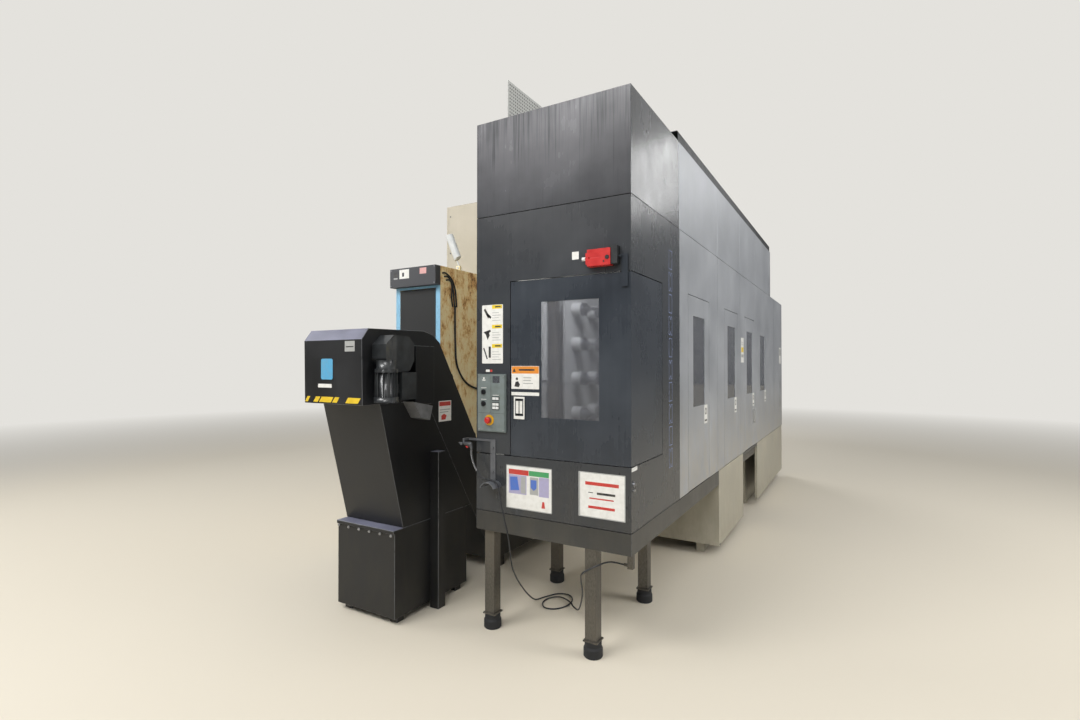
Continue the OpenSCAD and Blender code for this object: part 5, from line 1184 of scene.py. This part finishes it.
# %% Perforated screen and slots
QUARTER = math.pi / 2
TO_LEFT = (QUARTER, 0, -QUARTER)
TO_FRONT = (QUARTER, 0, 0)
TO_REAR = (QUARTER, 0, math.pi)
TOWER_REAR = round(corners("tower_back_panels")[1].y)
# the holes are black dots on the sheet: painted shade
grow("screen_perforation", rows, {
    "Wide": 1.32, "Tall": 0.38, "Columns": 61, "Rows": 18, "Size": (0.012, 0.012, 0.0004),
    "Middle": place(TOWER_LEFT + 3, 1015, 3220), "Turn": (QUARTER, 0, QUARTER),
    "Finish": black_film_and_hole_shade}, "machine")
SLOTS = [("cell_left_slots_1", 0.33, 12, (CELL_LEFT, 2480, 2720), TO_LEFT),
         ("cell_left_slots_2", 0.33, 12, (CELL_LEFT, 4400, 2720), TO_LEFT),
         ("cell_left_slots_3", 0.33, 12, (CELL_LEFT, 3440, 460), TO_LEFT),
         ("cell_front_slots", 0.2, 8, (-1500, CELL_FRONT, 2760), TO_FRONT),
         ("tower_left_slots", 0.25, 10, (TOWER_LEFT, 640, 2700), TO_LEFT),
         ("tower_rear_slots", 0.25, 10, (-420, TOWER_REAR, 2100), TO_REAR)]
# each slot is a black bead on the sheet: painted shade
for name, tall, count, middle, turn in SLOTS:
    grow(name, rows, {
        "Wide": 0.26, "Tall": tall, "Columns": 3, "Rows": count, "Size": (0.11, 0.012, 0.003),
        "Middle": place(*middle), "Turn": turn, "Finish": black_film_and_hole_shade}, "machine")
print("groups of slots:", len(SLOTS))

# %% [markdown]
# The hanging pendant has four rows of keys under a black screen. Its front
# leans back, so the rows are turned by the same angle.

# %% Keys and screen of the pendant
PENDANT_LEAN = math.radians(-71.1)
grow("pendant_keys", rows, {
    "Wide": 0.28, "Tall": 0.09, "Columns": 10, "Rows": 4, "Size": (0.021, 0.017, 0.006),
    "Middle": place(-560, 6125, 1170), "Turn": (PENDANT_LEAN, 0, 0), "Finish": cap_white},
    "control_pendant")
flat_piece("pendant_screen", "rear", 6096, [
    (oblong(-726, 1286, -374, 1620, 4), screen_glass, 0, 1.5)], "control_pendant")
print("pendant is dressed")

# %% [markdown]
# The cell is bolted together from large panels. Their seams show as dark
# lines, and two service doors on the left have flush pulls. All of it lies
# within a millimetre of the sheet, as the wall is the outermost face.

# %% Seams and service doors of the cell
for name, y in (("cell_seam_1", 2962), ("cell_seam_2", 3924)):
    flat_piece(name, "left", CELL_LEFT, [
        (oblong(y - 2, 104, y + 2, 3286), gasket_black, 0, 0.4)], "machine")
for i, y in enumerate((2200, 4120)):
    door_outline = outline_band(oblong(y, 700, y + 560, 2000), 5)
    flat_piece("service_door_%d" % (i + 1), "left", CELL_LEFT, [
        (strip, gasket_black, 0, 0.4) for strip in door_outline] + [
        (oblong(y + 470, 1280, y + 522, 1430, 8), zinc_steel, 0, 0.7),
        (oblong(y + 478, 1290, y + 514, 1400, 5), black_plastic, 0.7, 1)], "machine")
print("seams and service doors are in place")

# %% [markdown]
# A rubber seal frames the opening behind the loading door. It only shows when
# the door is open, and it stays on the machine.

# %% Seal of the loading door
flat_piece("loading_door_seal", "end", 0, [
    (oblong(-752, 2106, -30, 2140), gasket_black, -31, -26),
    (oblong(-752, 1030, -718, 2106), gasket_black, -31, -26)], "machine")
print("seal is in place")

# %% [markdown]
# Behind the loading window the left wall wears a pale ribbed liner. The tree
# bends a flat grid into ribs with a triangle wave, which is all that folded
# sheet is, and Solidify then gives the sheet its thickness.

# %% Ribbed liner behind the window
ribs, given = tree_with("ribbed_sheet", [
    ("Long", "Float"), ("Tall", "Float"), ("Pitch", "Float"), ("Depth", "Float"),
    ("Middle", "Vector"), ("Turn", "Vector"), ("Finish", "Material")])
flat = add(ribs, "GeometryNodeMeshGrid", {
    "Size X": given["Long"], "Size Y": given["Tall"], "Vertices X": 193, "Vertices Y": 2}, "Mesh")
spot = add(ribs, "GeometryNodeInputPosition", out=0)
along = add(ribs, SPLIT, [spot], "X")
fold = add(ribs, MATH, [along, given["Pitch"]], 0, operation="PINGPONG")
share = add(ribs, MATH, [fold, given["Pitch"]], 0, operation="DIVIDE")
lift = add(ribs, MATH, [share, given["Depth"]], 0, operation="MULTIPLY")
offset = add(ribs, "ShaderNodeCombineXYZ", {"Z": lift}, 0)
folded = add(ribs, "GeometryNodeSetPosition", {"Geometry": flat, "Offset": offset}, 0)
hung = add(ribs, "GeometryNodeTransform", {
    "Geometry": folded, "Translation": given["Middle"], "Rotation": given["Turn"]}, 0)
close_tree(ribs, hung, given["Finish"])
liner = grow("ribbed_liner", ribs, {
    "Long": 0.79, "Tall": 0.56, "Pitch": 0.0165, "Depth": 0.012, "Middle": place(-974, 470, 1735),
    "Turn": (QUARTER, 0, QUARTER), "Finish": pale_grey_enamel}, "machine")
wall = liner.modifiers.new("sheet", "SOLIDIFY")
wall.thickness = 0.001
wall.offset = 1.0
print("faces in the liner:", len(liner.data.polygons))

# %% [markdown]
# The spring that guards the hose below the gun is a row of rings. The tree
# walks the hose's own line and sets a ring across it at every step.

# %% Spring guard on the hose
coils, given = tree_with("rings_on_a_line", [
    ("Across", "Float"), ("Wire", "Float"), ("Step", "Float"), ("Finish", "Material")])
line = add(coils, "GeometryNodeMeshToCurve", [given["Geometry"]], 0)
walk = add(coils, "GeometryNodeCurveToPoints", {"Curve": line, "Length": given["Step"]},
           mode="LENGTH")
ring_radius = add(coils, MATH, [given["Across"], 0.5], 0, operation="MULTIPLY")
ring = add(coils, "GeometryNodeCurvePrimitiveCircle", {"Resolution": 14, "Radius": ring_radius},
           "Curve")
wire_radius = add(coils, MATH, [given["Wire"], 0.5], 0, operation="MULTIPLY")
wire = add(coils, "GeometryNodeCurvePrimitiveCircle", {"Resolution": 6, "Radius": wire_radius},
           "Curve")
coil = add(coils, "GeometryNodeCurveToMesh", {"Curve": ring, "Profile Curve": wire}, 0)
threaded = add(coils, "GeometryNodeInstanceOnPoints", {
    "Points": walk.outputs["Points"], "Instance": coil, "Rotation": walk.outputs["Rotation"]}, 0)
close_tree(coils, threaded, given["Finish"])
GUARD_LOW = 0.945
guarded = [point for point in hose_line if point.z > GUARD_LOW]
grow("hose_spring_guard", coils, {
    "Across": 0.0125, "Wire": 0.0022, "Step": 0.0036, "Finish": zinc_steel},
    "machine", guarded, joined=True)
print("spring guard over", round(length_of(guarded), 3), "m of hose")

# %% [markdown]
# ## The studio
# A pale floor runs out into a pale backdrop. Near the object the floor is
# paint that takes shadows; far away it glows in the backdrop's own colour, as
# seen by the camera, so that no edge shows.

# %% Floor
BACKDROP = "#e4e2dd"
REACH = 40
floor_mesh = bpy.data.meshes.new("studio_floor")
bm = bmesh.new()
square = ((-REACH, -REACH), (REACH, -REACH), (REACH, REACH), (-REACH, REACH))
bm.faces.new([bm.verts.new((x, y, -0.0005)) for x, y in square])
bm.to_mesh(floor_mesh)
bm.free()
floor = bpy.data.objects.new("studio_floor", floor_mesh)
scene.collection.objects.link(floor)
floor_paint, tree, shader, where = start_material("studio_floor_paint")
shader.inputs["Base Color"].default_value = linear("#dcd3c1")
shader.inputs["Roughness"].default_value = 0.6
away = add(tree, "ShaderNodeVectorMath", [where], "Value", operation="LENGTH")
path = add(tree, "ShaderNodeLightPath")
far = add(tree, SPAN, [away, 7.0, 17.0], 0)
far = add(tree, MATH, [far, path.outputs["Is Camera Ray"]], 0, operation="MULTIPLY")
glow = add(tree, "ShaderNodeEmission", [linear(BACKDROP), 1.0], 0)
faded = add(tree, "ShaderNodeMixShader", [far, shader.outputs[0], glow], 0)
tree.links.new(faded, tree.nodes["Material Output"].inputs["Surface"])
floor_mesh.materials.append(floor_paint)
floor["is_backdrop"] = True
print("floor reaches", REACH, "m each way")

# %% [markdown]
# The world is three things at once. The camera and the panes see the pale
# backdrop, glossy paint mirrors a room that is darker near the floor, and the
# light that the world sheds is cooler and weaker, so that the background is
# near white and the panels keep their own tone.

# %% World
world = bpy.data.worlds.new("studio")
scene.world = world
world.use_nodes = True
tree = world.node_tree
tree.nodes.clear()
path = add(tree, "ShaderNodeLightPath")
view = add(tree, "ShaderNodeTexCoord", out="Generated")
rise = add(tree, SPAN, [add(tree, SPLIT, [view], "Z"), -0.1, 0.7], 0)
room = add(tree, RAMP, [rise], 0, [(0.0, "#5f6163"), (0.3, "#7d7f83"), (0.65, "#cfcfcc")])
seen = add(tree, MATH, [path.outputs["Is Camera Ray"], path.outputs["Is Transmission Ray"]], 0,
           operation="MAXIMUM")
light = add(tree, "ShaderNodeBackground", [linear("#c9cdd3"), 0.55], 0)
gloss = add(tree, "ShaderNodeBackground", [room, 1.0], 0)
backdrop = add(tree, "ShaderNodeBackground", [linear(BACKDROP), 1.0], 0)
lit = add(tree, "ShaderNodeMixShader", [path.outputs["Is Glossy Ray"], light, gloss], 0)
chosen = add(tree, "ShaderNodeMixShader", [seen, lit, backdrop], 0)
add(tree, "ShaderNodeOutputWorld", [chosen])
scene.view_settings.view_transform = "Standard"
print("world nodes:", len(tree.nodes))

# %% [markdown]
# Large soft lamps stand in for the many lamps of a hall. The one over the
# aisle is small and far along, and gives the gloss of the dark flank its
# bright band. Two hang inside, so that the magazine shows through its window.

# %% Lamps
LAMPS = [
    ("aisle_lamp", (3.6, 3.9, 4.85), (1.4, -1.0, 2.3), 0.3, 1.3, 16),
    ("side_lamp", (6.5, -1.0, 4.5), (1.4, 0.5, 1.0), 3.0, 5.0, 215),
    ("front_lamp", (-1.7, -8.0, 7.6), (0.6, -2.8, 1.4), 4.0, 2.5, 400),
    ("corner_lamp", (3.4, -8.4, 6.0), (-0.6, -1.6, 1.6), 3.0, 3.0, 230),
    ("left_lamp", (-6.5, -5.5, 4.6), (-0.8, -2.2, 1.2), 3.0, 3.0, 150),
    ("rear_lamp", (-4.0, 8.5, 5.0), (0.0, 1.0, 1.5), 4.0, 3.0, 260),
    ("cell_lamp", place(-1900, 3900, 3150), place(-1900, 4100, 900), 0.6, 1.2, 90),
    ("tower_lamp", place(-330, 420, 2700), place(-860, 900, 1600), 0.4, 0.6, 46),
]
for name, spot, target, width, height, watts in LAMPS:
    data = bpy.data.lights.new(name, "AREA")
    data.shape = "RECTANGLE"
    data.size = width
    data.size_y = height
    data.energy = watts
    lamp = bpy.data.objects.new(name, data)
    lamp.location = spot
    lamp.rotation_mode = "QUATERNION"
    lamp.rotation_quaternion = (Vector(target) - Vector(spot)).to_track_quat("-Z", "Y")
    lamp.visible_camera = False
    scene.collection.objects.link(lamp)
print("lamps:", len(LAMPS))

# %% [markdown]
# ## Measure and finish
# The box round all that renders, the backdrop left out, is measured. The model must not
# outgrow the CAD box.

# %% Sizes and the last line
low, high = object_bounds()
